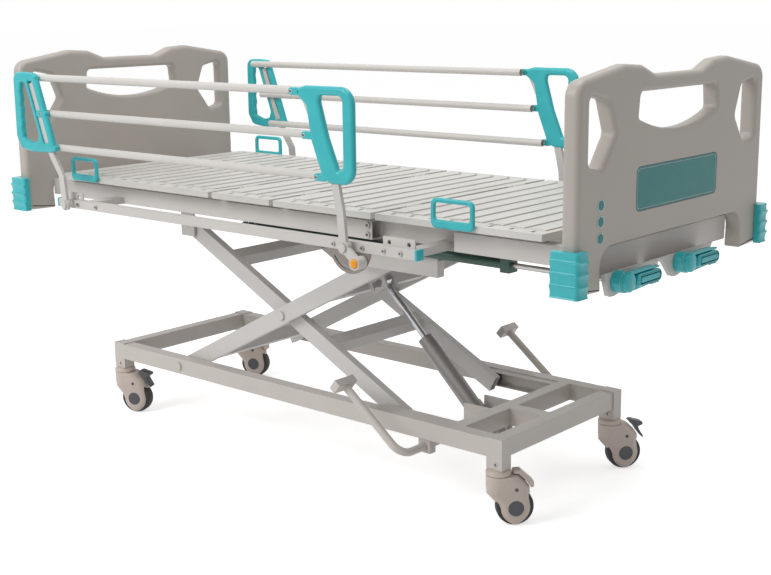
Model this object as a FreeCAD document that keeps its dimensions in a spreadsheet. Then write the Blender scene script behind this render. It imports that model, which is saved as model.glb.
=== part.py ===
"""Hospital bed: scissor lift on castors, four-part deck, two cranks and folding side guards.

All lengths are millimetres and all angles are degrees. X runs towards the foot end, -Y is the
near side, Z is up, and the origin lies on the floor under the middle of the bed.
"""
import FreeCAD, Part
import math
import os

import Sketcher

V = FreeCAD.Vector
doc = FreeCAD.newDocument("hospital_bed")
sheet = doc.addObject("Spreadsheet::Sheet", "Sizes")

DIMENSIONS = {
    # running clearances
    "running_gap": 0.3,
    "washer_gap": 3,
    # base frame
    "base_middle_x": -50,
    "base_length": 1600,
    "base_width": 584,
    "rail_foot_z": 186,
    "rail_height": 50,
    "rail_width": 40,
    "tube_wall": 2,
    "post_length": 50,
    "post_foot_z": 154,
    "post_rise": 2,
    "carrier_inset": 150,
    "cylinder_y": -30,
    "cylinder_foot_x": 518,
    "cylinder_foot_z": 150,
    "carrier_plate_wall": 6,
    "clevis_width": 34,
    # castors
    "wheel_radius": 50,
    "wheel_width": 30,
    "castor_trail": 42,
    "castor_width": 52,
    "cover_radius": 44,
    "cap_radius": 21,
    "stem_radius": 10,
    "stem_length": 36,
    "collar_radius": 26,
    "collar_height": 14,
    "near_head_heading": 24,
    "near_foot_heading": 47,
    "far_foot_heading": 52,
    "far_head_heading": 26,
    # scissor lift
    "arm_pitch": 968,
    "lift_angle": 27.3,
    "arm_pivot_x": -520,
    "arm_height": 50,
    "arm_width": 25,
    "arm_overhang": 22,
    "arm_bolt_radius": 8,
    "roller_radius": 18,
    "roller_width": 20,
    "channel_depth": 28,
    "channel_wall": 3,
    "channel_foot_x": 555,
    "base_channel_length": 255,
    "lift_channel_foot_x": 529,
    "lift_channel_length": 290,
    "cross_bar_size": 40,
    "outer_foot_bar_reach": 174,
    "outer_head_bar_reach": 385,
    "inner_foot_bar_reach": 169,
    "inner_head_bar_reach": 290,
    "rod_eye_reach": 240,
    "rod_eye_drop": 14,
    "eye_slot_run": 24,
    "eye_slot_drop": 5,
    # hydraulic cylinder
    "rod_radius": 9,
    "rod_length": 290,
    "barrel_radius": 25,
    "barrel_length": 330,
    "collar_length": 55,
    "cylinder_collar_radius": 28,
    "clevis_pin_radius": 8,
    # pump pedals
    "pedal_shaft_x": 485,
    "pedal_shaft_z": 163,
    "pedal_tube_radius": 11,
    "pedal_plane_y": 380,
    "pedal_bend_radius": 40,
    "pedal_reach": 250,
    "pedal_angle": 142,
    # bed frame
    "bed_head_x": -1050,
    "bed_foot_x": 1020,
    "bed_half_width": 350,
    "bed_tube_z": 727,
    "bed_tube_height": 50,
    "bed_tube_width": 40,
    "splice_head_x": 366,
    "splice_foot_x": 640,
    "splice_overlap": 60,
    "head_outrigger_x": -700,
    "foot_outrigger_x": 600,
    # head and foot boards
    "board_thickness": 45,
    "board_half_width": 452,
    "board_foot_z": 682,
    "board_peak_z": 1195,
    "board_corner_z": 1163,
    "board_dip_z": 1166,
    "board_grip_z": 1128,
    "board_arch_z": 784,
    "board_leg_inner_y": 345,
    "board_edge_round": 7,
    "bumper_cover": 23,
    "bumper_height": 113,
    "bumper_foot_z": 686,
    "bumper_front_reach": 50,
    "bumper_side_reach": 82,
    "badge_length": 400,
    "badge_height": 107,
    "badge_foot_z": 848,
    # deck
    "deck_half_width": 396,
    "deck_top_z": 811,
    "deck_skirt": 20,
    "deck_sheet": 3,
    "deck_head_x": -944,
    "back_hinge_x": -219,
    "seat_foot_x": 34,
    "knee_x": 410,
    "deck_foot_x": 934,
    "section_gap": 16,
    "seat_tube_setback": 82,
    "thigh_tube_setback": 56,
    "rib_height": 3,
    "rib_width": 44,
    "rib_pitch": 62,
    "stop_length": 133,
    "stop_height": 58,
    "stop_radius": 6,
    "stop_bend": 18,
    "back_stop_x": -869,
    "leg_stop_x": 610,
    # cranks
    "near_crank_y": -292,
    "middle_crank_y": 0,
    "crank_axis_z": 700,
    "crank_screw_radius": 7,
    "crank_hub_radius": 26,
    "crank_hub_x": 1073.5,
    "crank_hub_length": 24,
    "crank_arm_length": 132,
    "crank_arm_height": 44,
    "crank_arm_thick": 15,
    "crank_grip_thick": 12,
    "drive_tube_radius": 12.5,
    "near_drive_foot_x": 780,
    "middle_drive_foot_x": 720,
    # side guards
    "guard_pitch": 1180,
    "guard_pivot_x": 405,
    "guard_pivot_z": 734,
    "guard_tube_face_y": 480,
    "guard_tube_size": 25,
    "guard_tube_head_x": -840,
    "guard_tube_foot_x": 621,
    "guard_rail_radius": 11,
    "guard_rail_wall": 1.5,
    "low_rail_lean": 83,
    "low_rail_rise": 172.5,
    "middle_rail_lean": 125,
    "middle_rail_rise": 276.5,
    "top_rail_lean": 167,
    "top_rail_rise": 386,
    "guard_post_width": 24,
    "guard_post_thick": 12,
    "quadrant_radius": 72,
    "quadrant_wall": 3,
    "guard_pin_radius": 4,
    "handle_thick": 22,
    "button_radius": 12,
    "button_travel": 4,
    "lock_reach": 58,
    "lock_radius": 17,
}

for row, (alias, number) in enumerate(DIMENSIONS.items(), start=1):
    sheet.set("A%d" % row, alias)
    sheet.set("B%d" % row, str(number))
    sheet.setAlias("B%d" % row, alias)
doc.recompute()


class Size:
    """A length or angle that carries its formula in the sheet beside its present value."""

    def __init__(self, formula, value):
        self.formula = formula
        self.value = float(value)

    def joined(self, sign, other, value):
        return Size("(%s %s %s)" % (self.formula, sign, other.formula), value)

    def __add__(self, other):
        other = as_size(other)
        return self.joined("+", other, self.value + other.value)

    def __sub__(self, other):
        other = as_size(other)
        return self.joined("-", other, self.value - other.value)

    def __mul__(self, other):
        other = as_size(other)
        return self.joined("*", other, self.value * other.value)

    def __truediv__(self, other):
        other = as_size(other)
        return self.joined("/", other, self.value / other.value)

    def __radd__(self, other):
        return as_size(other) + self

    def __rsub__(self, other):
        return as_size(other) - self

    def __rmul__(self, other):
        return as_size(other) * self

    def __neg__(self):
        return Size("(0 - %s)" % self.formula, -self.value)


def as_size(number):
    """A plain number as a Size, and a Size as it is."""
    if isinstance(number, Size):
        return number
    return Size("(%r)" % float(number), number)


def sine(angle):
    return Size("sin(%s)" % angle.formula, math.sin(math.radians(angle.value)))


def cosine(angle):
    return Size("cos(%s)" % angle.formula, math.cos(math.radians(angle.value)))


class Drawing:
    """The sheet's values as Sizes, each under its alias."""


d = Drawing()
for alias, number in DIMENSIONS.items():
    setattr(d, alias, Size("Sizes." + alias, number))

nodes = []


def bind(thing, path, size):
    """Ties one property of an object to its formula."""
    thing.setExpression(path, as_size(size).formula)


def place(thing, x=0, y=0, z=0, axis=None, turn=None):
    """Puts an object at a bound point, turned about an axis by a bound angle."""
    if axis is not None:
        thing.Placement = FreeCAD.Placement(V(0, 0, 0), FreeCAD.Rotation(V(*axis), 1))
        bind(thing, "Placement.Rotation.Angle", turn)
    for letter, size in zip("xyz", (x, y, z)):
        bind(thing, "Placement.Base." + letter, size)
    return thing


def block(name, x, y, z):
    """A box given by its low and high plane along each axis."""
    box = doc.addObject("Part::Box", name)
    for letter, side, (low, high) in zip("xyz", ("Length", "Width", "Height"), (x, y, z)):
        bind(box, side, as_size(high) - as_size(low))
        bind(box, "Placement.Base." + letter, low)
    return box


TURNS = {"x": FreeCAD.Rotation(V(0, 1, 0), 90), "y": FreeCAD.Rotation(V(1, 0, 0), -90),
         "z": FreeCAD.Rotation()}


def rod(name, along, span, centre, radius):
    """A round bar along one axis; centre gives its two other coordinates in axis order."""
    bar = doc.addObject("Part::Cylinder", name)
    bar.Placement = FreeCAD.Placement(V(0, 0, 0), TURNS[along])
    low, high = span
    bind(bar, "Height", as_size(high) - as_size(low))
    bind(bar, "Radius", radius)
    spot = list(centre)
    spot.insert("xyz".index(along), low)
    for letter, size in zip("xyz", spot):
        bind(bar, "Placement.Base." + letter, size)
    return bar


def cut(name, base, *tools):
    """The base with every tool taken out of it."""
    tool = tools[0] if len(tools) == 1 else fuse(name + "_tools", *tools)
    result = doc.addObject("Part::Cut", name)
    result.Base = base
    result.Tool = tool
    return result


def fuse(name, *pieces):
    """One solid made of touching or overlapping pieces."""
    result = doc.addObject("Part::MultiFuse", name)
    result.Shapes = list(pieces)
    result.Refine = True
    return result


def box_tube(name, along, x, y, z, wall):
    """A square tube, open at both ends, between two planes along each axis."""
    spans = [[as_size(low), as_size(high)] for low, high in (x, y, z)]
    bore = []
    for letter, (low, high) in zip("xyz", spans):
        inward = -1 if letter == along else wall
        bore.append((low + inward, high - inward))
    return cut(name, block(name + "_outside", *spans), block(name + "_inside", *bore))


def round_tube(name, along, span, centre, radius, wall):
    """A round tube, open at both ends."""
    low, high = as_size(span[0]), as_size(span[1])
    return cut(name, rod(name + "_outside", along, (low, high), centre, radius),
               rod(name + "_inside", along, (low - 1, high + 1), centre, radius - wall))


def keep(name, *pieces):
    """Names a sub-part: one object, or a group of separate solids that are fixed together."""
    if len(pieces) == 1:
        part = pieces[0]
    else:
        part = doc.addObject("Part::Compound", name + "_group")
        part.Links = list(pieces)
    part.Label = name
    nodes.append((name, part))
    return part


def both_sides(side, inner, outer):
    """The span from inner to outer on one side: -1 is the near side and 1 the far side."""
    inner, outer = as_size(inner), as_size(outer)
    return (-outer, -inner) if side < 0 else (inner, outer)


def new_body(name):
    part = doc.addObject("PartDesign::Body", name)
    return part


def new_sketch(part, name, plane, height=0):
    """A sketch on one of the body's own planes, lifted along that plane's normal."""
    sketch = part.newObject("Sketcher::SketchObject", name)
    support = [face for face in part.Origin.OriginFeatures if face.Role == plane][0]
    sketch.AttachmentSupport = (support, "")
    sketch.MapMode = "FlatFace"
    bind(sketch, "AttachmentOffset.Base.z", height)
    return sketch


def hold_point(sketch, geometry, end, across, up):
    """Fixes a point of the sketch at its two bound distances from the origin."""
    for kind, size in (("DistanceX", as_size(across)), ("DistanceY", as_size(up))):
        number = sketch.addConstraint(
            Sketcher.Constraint(kind, -1, 1, geometry, end, size.value))
        bind(sketch, "Constraints[%d]" % number, size)


def outline(sketch, points):
    """A closed outline of straight edges through the given corners."""
    corners = [(as_size(across), as_size(up)) for across, up in points]
    first = sketch.GeometryCount
    for number, (across, up) in enumerate(corners):
        nxt = corners[(number + 1) % len(corners)]
        sketch.addGeometry(Part.LineSegment(V(across.value, up.value, 0),
                                            V(nxt[0].value, nxt[1].value, 0)), False)
    for number in range(len(corners)):
        following = first + (number + 1) % len(corners)
        sketch.addConstraint(Sketcher.Constraint("Coincident", first + number, 2, following, 1))
        hold_point(sketch, first + number, 1, *corners[number])


def ring(sketch, across, up, radius):
    """A circle with a bound centre and radius."""
    across, up, radius = as_size(across), as_size(up), as_size(radius)
    number = sketch.addGeometry(
        Part.Circle(V(across.value, up.value, 0), V(0, 0, 1), radius.value), False)
    hold_point(sketch, number, 3, across, up)
    size = sketch.addConstraint(Sketcher.Constraint("Radius", number, radius.value))
    bind(sketch, "Constraints[%d]" % size, radius)


def pad(part, sketch, length, name, reverse=False):
    feature = part.newObject("PartDesign::Pad", name)
    feature.Profile = sketch
    feature.Reversed = reverse
    bind(feature, "Length", length)
    sketch.Visibility = False
    return feature


def pocket(part, sketch, length, name, reverse=False):
    feature = part.newObject("PartDesign::Pocket", name)
    feature.Profile = sketch
    feature.Reversed = reverse
    bind(feature, "Length", length)
    return feature


def round_edges(part, name, radius, wanted):
    """Rounds the edges of the body's last feature for which wanted(edge) is true."""
    doc.recompute()
    base = part.Tip
    names = ["Edge%d" % number for number, edge in enumerate(base.Shape.Edges, start=1)
             if wanted(edge)]
    feature = part.newObject("PartDesign::Fillet", name)
    feature.Base = (base, names)
    bind(feature, "Radius", radius)
    doc.recompute()
    return feature


def bevel_edges(part, name, size, wanted):
    """Bevels the edges of the body's last feature for which wanted(edge) is true."""
    doc.recompute()
    base = part.Tip
    names = ["Edge%d" % number for number, edge in enumerate(base.Shape.Edges, start=1)
             if wanted(edge)]
    feature = part.newObject("PartDesign::Chamfer", name)
    feature.Base = (base, names)
    bind(feature, "Size", size)
    doc.recompute()
    return feature


def lies_along(edge, direction):
    """True for a straight edge along the given direction."""
    start, end = edge.Vertexes[0].Point, edge.Vertexes[-1].Point
    reach = end - start
    if reach.Length < 1e-6 or abs(reach.Length - edge.Length) > 1e-6:
        return False
    return abs(reach.normalize().dot(direction)) > 0.9999


# base frame: posts and rails of square tube, welded butt to butt
base_head_x = d.base_middle_x - d.base_length / 2
base_foot_x = d.base_middle_x + d.base_length / 2
base_half_width = d.base_width / 2
rail_inner_y = base_half_width - d.rail_width
rail_top_z = d.rail_foot_z + d.rail_height
rail_middle_z = d.rail_foot_z + d.rail_height / 2
rail_z = (d.rail_foot_z, rail_top_z)
post_z = (d.post_foot_z, rail_top_z + d.post_rise)
post_middle_x = {"head": base_head_x + d.post_length / 2, "foot": base_foot_x - d.post_length / 2}
post_middle_y = base_half_width - d.rail_width / 2
arm_pivot_z = rail_middle_z
bed_pivot_z = arm_pivot_z + d.arm_pitch * sine(d.lift_angle)
arm_face_y = rail_inner_y - d.washer_gap - 1
arm_inner_y = arm_face_y - d.arm_width
inner_arm_face_y = arm_inner_y - d.washer_gap
inner_arm_inner_y = inner_arm_face_y - d.arm_width


def make_base_frame():
    pieces = []
    for side in (-1, 1):
        rail_y = both_sides(side, rail_inner_y, base_half_width)
        pieces.append(box_tube("long_rail_%d" % (side + 1), "x",
                               (base_head_x + d.post_length, base_foot_x - d.post_length),
                               rail_y, rail_z, d.tube_wall))
        for end in ("head", "foot"):
            tag = "%s_%d" % (end, side + 1)
            middle = post_middle_x[end]
            post_x = (middle - d.post_length / 2, middle + d.post_length / 2)
            pieces.append(cut("post_" + tag, block("post_block_" + tag, post_x, rail_y, post_z),
                              rod("stem_socket_" + tag, "z",
                                  (d.post_foot_z - 1, d.post_foot_z + d.stem_length + 2),
                                  (middle, side * post_middle_y), d.stem_radius + 0.1)))
        # the hinge bolt of the outer lift arm stands in the rail with its head outside
        pieces.append(pivot_bolt("base_hinge_bolt_%d" % (side + 1), side, d.arm_pivot_x,
                                 arm_pivot_z, base_half_width, arm_inner_y, rail_inner_y))
        pieces.extend(make_base_channel(side))
    for end in ("head", "foot"):
        middle = post_middle_x[end]
        pieces.append(box_tube("end_rail_" + end, "y",
                               (middle - d.rail_width / 2, middle + d.rail_width / 2),
                               (-rail_inner_y, rail_inner_y), rail_z, d.tube_wall))
    carrier_foot_x = base_foot_x - d.carrier_inset
    carrier_head_x = carrier_foot_x - d.rail_width
    pieces.append(box_tube("cylinder_cross_tube", "y", (carrier_head_x, carrier_foot_x),
                           (-rail_inner_y, rail_inner_y), rail_z, d.tube_wall))
    pieces.append(box_tube("stub_tube", "x",
                           (carrier_foot_x, base_foot_x - d.post_length / 2 - d.rail_width / 2),
                           (d.cylinder_y - d.rail_width / 2, d.cylinder_y + d.rail_width / 2),
                           rail_z, d.tube_wall))
    for side in (-1, 1):
        inner = d.cylinder_y + side * (d.clevis_width / 2 + 1)
        outer = inner + side * d.carrier_plate_wall
        plate_y = (outer, inner) if side < 0 else (inner, outer)
        plate = new_body("cylinder_plate_%d_blank" % (side + 1))
        view = new_sketch(plate, "cylinder_plate_%d_view" % (side + 1), "XZ_Plane", -plate_y[0])
        outline(view, [(d.cylinder_foot_x - 18, d.cylinder_foot_z - 18),
                       (carrier_head_x, d.cylinder_foot_z - 18),
                       (carrier_head_x, rail_top_z - 2), (carrier_head_x - 4, rail_top_z - 4),
                       (d.cylinder_foot_x - 18, d.cylinder_foot_z + 26)])
        pad(plate, view, d.carrier_plate_wall, "cylinder_plate_%d_pad" % (side + 1), True)
        pieces.append(cut("cylinder_plate_%d" % (side + 1), plate,
                          rod("cylinder_plate_%d_bore" % (side + 1), "y",
                              (plate_y[0] - 1, plate_y[1] + 1),
                              (d.cylinder_foot_x, d.cylinder_foot_z),
                              d.clevis_pin_radius + d.running_gap)))
        gusset_y = pedal_inner_y(side)
        gusset_span = (gusset_y, gusset_y + d.carrier_plate_wall) if side > 0 else (
            gusset_y - d.carrier_plate_wall, gusset_y)
        gusset = block("pedal_gusset_%d_blank" % (side + 1),
                       (d.pedal_shaft_x - 22, carrier_head_x), gusset_span,
                       (d.pedal_shaft_z - 20, rail_top_z - 4))
        pieces.append(cut("pedal_gusset_%d" % (side + 1), gusset,
                          rod("pedal_gusset_%d_bore" % (side + 1), "y",
                              (gusset_span[0] - 1, gusset_span[1] + 1),
                              (d.pedal_shaft_x, d.pedal_shaft_z),
                              d.pedal_tube_radius + d.running_gap)))
        tab_y = both_sides(side, rail_inner_y + 8, base_half_width - 8)
        tab = block("pedal_tab_%d_blank" % (side + 1),
                    (d.pedal_shaft_x - 20, d.pedal_shaft_x + 20), tab_y,
                    (d.pedal_shaft_z - 18, d.rail_foot_z))
        pieces.append(cut("pedal_tab_%d" % (side + 1), tab,
                          rod("pedal_tab_%d_bore" % (side + 1), "y",
                              (tab_y[0] - 1, tab_y[1] + 1),
                              (d.pedal_shaft_x, d.pedal_shaft_z),
                              d.pedal_tube_radius + d.running_gap)))
    keep("base_frame", *pieces)


def pedal_inner_y(side):
    """The face of the gusset that carries the inner end of a pedal shaft."""
    return d.cylinder_y + side * (d.clevis_width / 2 + d.carrier_plate_wall + 22)


def pivot_bolt(name, side, x, z, head_face_y, tip_y, shoulder_y):
    """A hinge bolt along Y: its head lies on head_face_y and its shank ends at tip_y."""
    head = rod(name + "_head", "y", both_sides(side, head_face_y, head_face_y + 6), (x, z),
               d.arm_bolt_radius * 1.6)
    washer = rod(name + "_washer", "y", both_sides(side, shoulder_y - d.washer_gap, shoulder_y),
                 (x, z), d.arm_bolt_radius * 1.8)
    shank = rod(name + "_shank", "y", both_sides(side, tip_y, head_face_y), (x, z),
                d.arm_bolt_radius)
    return fuse(name, head, shank, washer)


def make_channel(name, side, x, web_y, z):
    """A C-shaped rolling channel, open towards the middle of the bed."""
    deep = both_sides(side, web_y - d.channel_depth, web_y)
    hollow = both_sides(side, web_y - d.channel_depth - 1, web_y - d.channel_wall)
    return cut(name, block(name + "_blank", x, deep, z),
               block(name + "_hollow", (x[0] - 1, x[1] - d.channel_wall), hollow,
                     (z[0] + d.channel_wall, z[1] - d.channel_wall)))


channel_half = d.roller_radius + d.channel_wall + 1


def make_base_channel(side):
    x = (d.channel_foot_x - d.base_channel_length, d.channel_foot_x)
    return [make_channel("base_channel_%d" % (side + 1), side, x, rail_inner_y,
                         (arm_pivot_z - channel_half, arm_pivot_z + channel_half))]


# castors: each is drawn about its own stem, then turned to its heading
def make_castor(name, x, y, heading):
    axle = (d.castor_trail, d.wheel_radius)
    hub_x = d.castor_trail + 46
    hub_z = d.wheel_radius + 68
    half = d.castor_width / 2
    top = d.post_foot_z - d.running_gap
    shoulder = top - d.collar_height
    housing = new_body(name + "_housing")
    side_view = new_sketch(housing, name + "_housing_side", "XZ_Plane", -half)
    outline(side_view, [
        (-d.collar_radius, shoulder), (-d.collar_radius, shoulder - 46), (-6, shoulder - 70),
        (d.castor_trail, d.wheel_radius), (d.castor_trail + 40, d.wheel_radius + 26),
        (d.castor_trail + 43, d.wheel_radius + 54), (d.castor_trail + 26, shoulder - 5),
        (d.collar_radius + 16, shoulder)])
    pad(housing, side_view, d.castor_width, name + "_housing_pad")
    cover = rod(name + "_cover", "y", (-half, half), axle, d.cover_radius)
    ears = [block("%s_ear_%d" % (name, side + 1), (hub_x - 22, hub_x + 7),
                  both_sides(side, 15.5, 20), (hub_z - 9, hub_z + 8)) for side in (-1, 1)]
    shell = cut(name + "_shell", fuse(name + "_body", housing, cover, *ears),
                rod(name + "_pedal_bore", "y", (-21, 21), (hub_x, hub_z), as_size(3.2)),
                rod(name + "_wheel_space", "y", (-d.wheel_width / 2 - 1.5, d.wheel_width / 2 + 1.5),
                    axle, d.wheel_radius + 3.5),
                rod(name + "_axle_bore", "y", (-half - 1, half + 1), axle, 5 + d.running_gap))
    collar = rod(name + "_collar", "z", (shoulder, top), (0, 0), d.collar_radius)
    stem = rod(name + "_stem", "z", (top, top + d.stem_length), (0, 0), d.stem_radius)
    fork = keep(name + "_fork", fuse(name + "_fork_body", shell, collar, stem))
    tyre = rod(name + "_tyre_blank", "y", (-d.wheel_width / 2, d.wheel_width / 2), axle,
               d.wheel_radius)
    tread = doc.addObject("Part::Fillet", name + "_tread")
    doc.recompute()
    tread.Base = tyre
    rims = [number for number, edge in enumerate(tyre.Shape.Edges, start=1)
            if edge.Curve.TypeId == "Part::GeomCircle"]
    tread.Edges = [(number, 6.0, 6.0) for number in rims]
    axle_pin = rod(name + "_axle", "y", (-half - 2, half + 2), axle, 5)
    caps = []
    for side in (-1, 1):
        caps.append(rod("%s_cap_%d" % (name, side + 1), "y",
                        both_sides(side, half + d.running_gap, half + 3), axle, d.cap_radius))
    wheel = keep(name + "_wheel", fuse(name + "_wheel_body", tread, axle_pin, *caps))
    pedal = new_body(name + "_pedal")
    pedal_side = new_sketch(pedal, name + "_pedal_side", "XZ_Plane", -15)
    outline(pedal_side, [
        (hub_x - 16, hub_z + 20), (hub_x - 8, hub_z + 8), (hub_x + 3, hub_z - 14),
        (hub_x + 18, hub_z - 30), (hub_x + 22, hub_z - 26), (hub_x + 9, hub_z),
        (hub_x + 25, hub_z + 7), (hub_x + 24, hub_z + 13), (hub_x - 2, hub_z + 19)])
    pad(pedal, pedal_side, 30, name + "_pedal_pad")
    brake = keep(name + "_brake",
                 fuse(name + "_brake_body", pedal,
                      rod(name + "_brake_pin", "y", (-20, 20), (hub_x, hub_z), as_size(3))))
    for part in (fork, wheel, brake):
        place(part, x, y, 0, (0, 0, 1), heading)


# scissor lift: the outer arms hinge on the base and the inner arms cross inside them
def slanted(name, pieces, x, z, falls):
    """A group drawn level about a pivot at the origin, then set at the lift angle."""
    group = keep(name, *pieces)
    place(group, x, 0, z, (0, 1, 0) if falls else (0, -1, 0), d.lift_angle)
    return group


def make_arm(name, side, inner_y, outer_y, bores):
    """One straight arm of square tube from its hinge at the origin to its roller."""
    arm = box_tube(name + "_tube", "x", (-d.arm_overhang, d.arm_pitch + d.arm_overhang),
                   both_sides(side, inner_y, outer_y), (-d.arm_height / 2, d.arm_height / 2),
                   d.tube_wall)
    holes = [rod("%s_bore_%d" % (name, number), "y",
                 both_sides(side, inner_y - 1, outer_y + 1), (along, 0),
                 d.arm_bolt_radius + d.running_gap)
             for number, along in enumerate(bores)]
    return cut(name, arm, *holes)


def cross_bar(name, along, reach_y):
    half = d.cross_bar_size / 2
    return box_tube(name, "y", (along - half, along + half), (-reach_y, reach_y),
                    (-half, half), d.tube_wall)


def make_outer_arms():
    pieces = []
    for side in (-1, 1):
        tag = "outer_arm_%d" % (side + 1)
        pieces.append(make_arm(tag, side, arm_inner_y, arm_face_y, (0, d.arm_pitch / 2)))
        pieces.append(rod("upper_axle_%d" % (side + 1), "y",
                          both_sides(side, arm_face_y, arm_face_y + 2 + d.roller_width),
                          (d.arm_pitch, 0), d.arm_bolt_radius))
        # the centre bolt is welded in the outer arm and carries the inner one
        pieces.append(pivot_bolt("centre_bolt_%d" % (side + 1), side, d.arm_pitch / 2, as_size(0),
                                 arm_face_y, inner_arm_inner_y, arm_inner_y))
    pieces.append(cross_bar("outer_foot_bar", d.arm_pitch / 2 + d.outer_foot_bar_reach,
                            arm_inner_y))
    pieces.append(cross_bar("outer_head_bar", d.arm_pitch / 2 - d.outer_head_bar_reach,
                            arm_inner_y))
    bar_face = d.arm_pitch / 2 + d.outer_foot_bar_reach + d.cross_bar_size / 2
    eye = (d.arm_pitch / 2 + d.rod_eye_reach, -d.rod_eye_drop)
    for side in (-1, 1):
        inner = d.cylinder_y + side * (d.clevis_width / 2 + 1)
        outer = inner + side * d.carrier_plate_wall
        span = (outer, inner) if side < 0 else (inner, outer)
        plate = block("eye_plate_%d_blank" % (side + 1), (bar_face, eye[0] + 22), span,
                      (eye[1] - 22, eye[1] + 24))
        # a slot gives the rod pin room to shift along the arm as the bed goes down
        bore = d.clevis_pin_radius + d.running_gap
        pieces.append(cut("eye_plate_%d" % (side + 1), plate,
                          rod("eye_plate_%d_bore" % (side + 1), "y",
                              (span[0] - 1, span[1] + 1), eye, bore),
                          block("eye_plate_%d_slot" % (side + 1),
                                (eye[0] - bore - d.eye_slot_run, eye[0]),
                                (span[0] - 1, span[1] + 1),
                                (eye[1] - bore - d.eye_slot_drop, eye[1] + bore))))
    slanted("outer_lift_arms", pieces, d.arm_pivot_x, arm_pivot_z, False)


def make_inner_arms():
    pieces = []
    for side in (-1, 1):
        tag = "inner_arm_%d" % (side + 1)
        pieces.append(make_arm(tag, side, inner_arm_inner_y, inner_arm_face_y,
                               (0, d.arm_pitch / 2)))
        pieces.append(rod("lower_axle_%d" % (side + 1), "y",
                          both_sides(side, inner_arm_face_y,
                                     inner_arm_face_y + 6 + d.roller_width),
                          (d.arm_pitch, 0), d.arm_bolt_radius))
    pieces.append(cross_bar("inner_foot_bar", d.arm_pitch / 2 + d.inner_foot_bar_reach,
                            inner_arm_inner_y))
    pieces.append(cross_bar("inner_head_bar", d.arm_pitch / 2 - d.inner_head_bar_reach,
                            inner_arm_inner_y))
    slanted("inner_lift_arms", pieces, d.arm_pivot_x, bed_pivot_z, True)


def make_rollers(name, start_y, x, z):
    pieces = []
    for side in (-1, 1):
        pieces.append(round_tube("%s_%d" % (name, side + 1), "y",
                                 both_sides(side, start_y, start_y + d.roller_width), (x, z),
                                 d.roller_radius,
                                 d.roller_radius - d.arm_bolt_radius - 0.1))
    keep(name, *pieces)


# hydraulic cylinder: drawn upright from its foot pin, then leaned to the rod eye
eye_along = d.arm_pitch / 2 + d.rod_eye_reach
rod_eye_x = d.arm_pivot_x + eye_along * cosine(d.lift_angle) + d.rod_eye_drop * sine(d.lift_angle)
rod_eye_z = arm_pivot_z + eye_along * sine(d.lift_angle) - d.rod_eye_drop * cosine(d.lift_angle)
cylinder_run = d.cylinder_foot_x - rod_eye_x
cylinder_rise = rod_eye_z - d.cylinder_foot_z
cylinder_lean = Size("atan2(%s; %s)" % (cylinder_run.formula, cylinder_rise.formula),
                     math.degrees(math.atan2(cylinder_run.value, cylinder_rise.value)))
cylinder_length = Size("sqrt(%s ^ 2 + %s ^ 2)" % (cylinder_run.formula, cylinder_rise.formula),
                       math.hypot(cylinder_run.value, cylinder_rise.value))


def make_cylinder():
    half = d.clevis_width / 2
    y = d.cylinder_y
    foot_eye = rod("foot_eye", "y", (y - half, y + half), (0, 0), d.clevis_pin_radius + 9)
    foot_block = block("foot_block", (-14, 14), (y - half, y + half), (0, 34))
    collar = rod("barrel_collar", "z", (34, 34 + d.collar_length), (0, y),
                 d.cylinder_collar_radius)
    tube = rod("barrel_tube", "z", (34 + d.collar_length, d.barrel_length - 26), (0, y),
               d.barrel_radius)
    gland = rod("barrel_gland", "z", (d.barrel_length - 26, d.barrel_length), (0, y),
                d.barrel_radius - 2)
    bore = rod("barrel_bore", "z", (34 + 20, d.barrel_length + 1), (0, y),
               d.rod_radius + d.running_gap)
    chamber = rod("barrel_chamber", "z", (34 + 20, d.barrel_length - 26), (0, y),
                  d.barrel_radius - 5)
    pin = rod("foot_pin", "y", (y - half - d.carrier_plate_wall - 5,
                                y + half + d.carrier_plate_wall + 5), (0, 0),
              d.clevis_pin_radius)
    barrel = cut("barrel_shell", fuse("barrel_body", foot_eye, foot_block, collar, tube, gland),
                 bore, chamber)
    barrel = keep("cylinder_barrel", fuse("barrel_with_pin", barrel, pin))
    place(barrel, d.cylinder_foot_x, 0, d.cylinder_foot_z, (0, -1, 0), cylinder_lean)
    stem = rod("rod_stem", "z", (cylinder_length - d.rod_length, cylinder_length - 12), (0, y),
               d.rod_radius)
    piston = rod("piston", "z", (cylinder_length - d.rod_length - 12,
                                 cylinder_length - d.rod_length), (0, y),
                 d.barrel_radius - 5 - d.running_gap)
    head = rod("rod_head", "y", (y - half, y + half), (0, cylinder_length),
               d.clevis_pin_radius + 9)
    head_pin = rod("rod_pin", "y", (y - half - d.carrier_plate_wall - 5,
                                    y + half + d.carrier_plate_wall + 5),
                   (0, cylinder_length), d.clevis_pin_radius)
    piston_rod = keep("piston_rod", fuse("piston_rod_body", stem, piston, head, head_pin))
    place(piston_rod, d.cylinder_foot_x, 0, d.cylinder_foot_z, (0, -1, 0), cylinder_lean)


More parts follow.
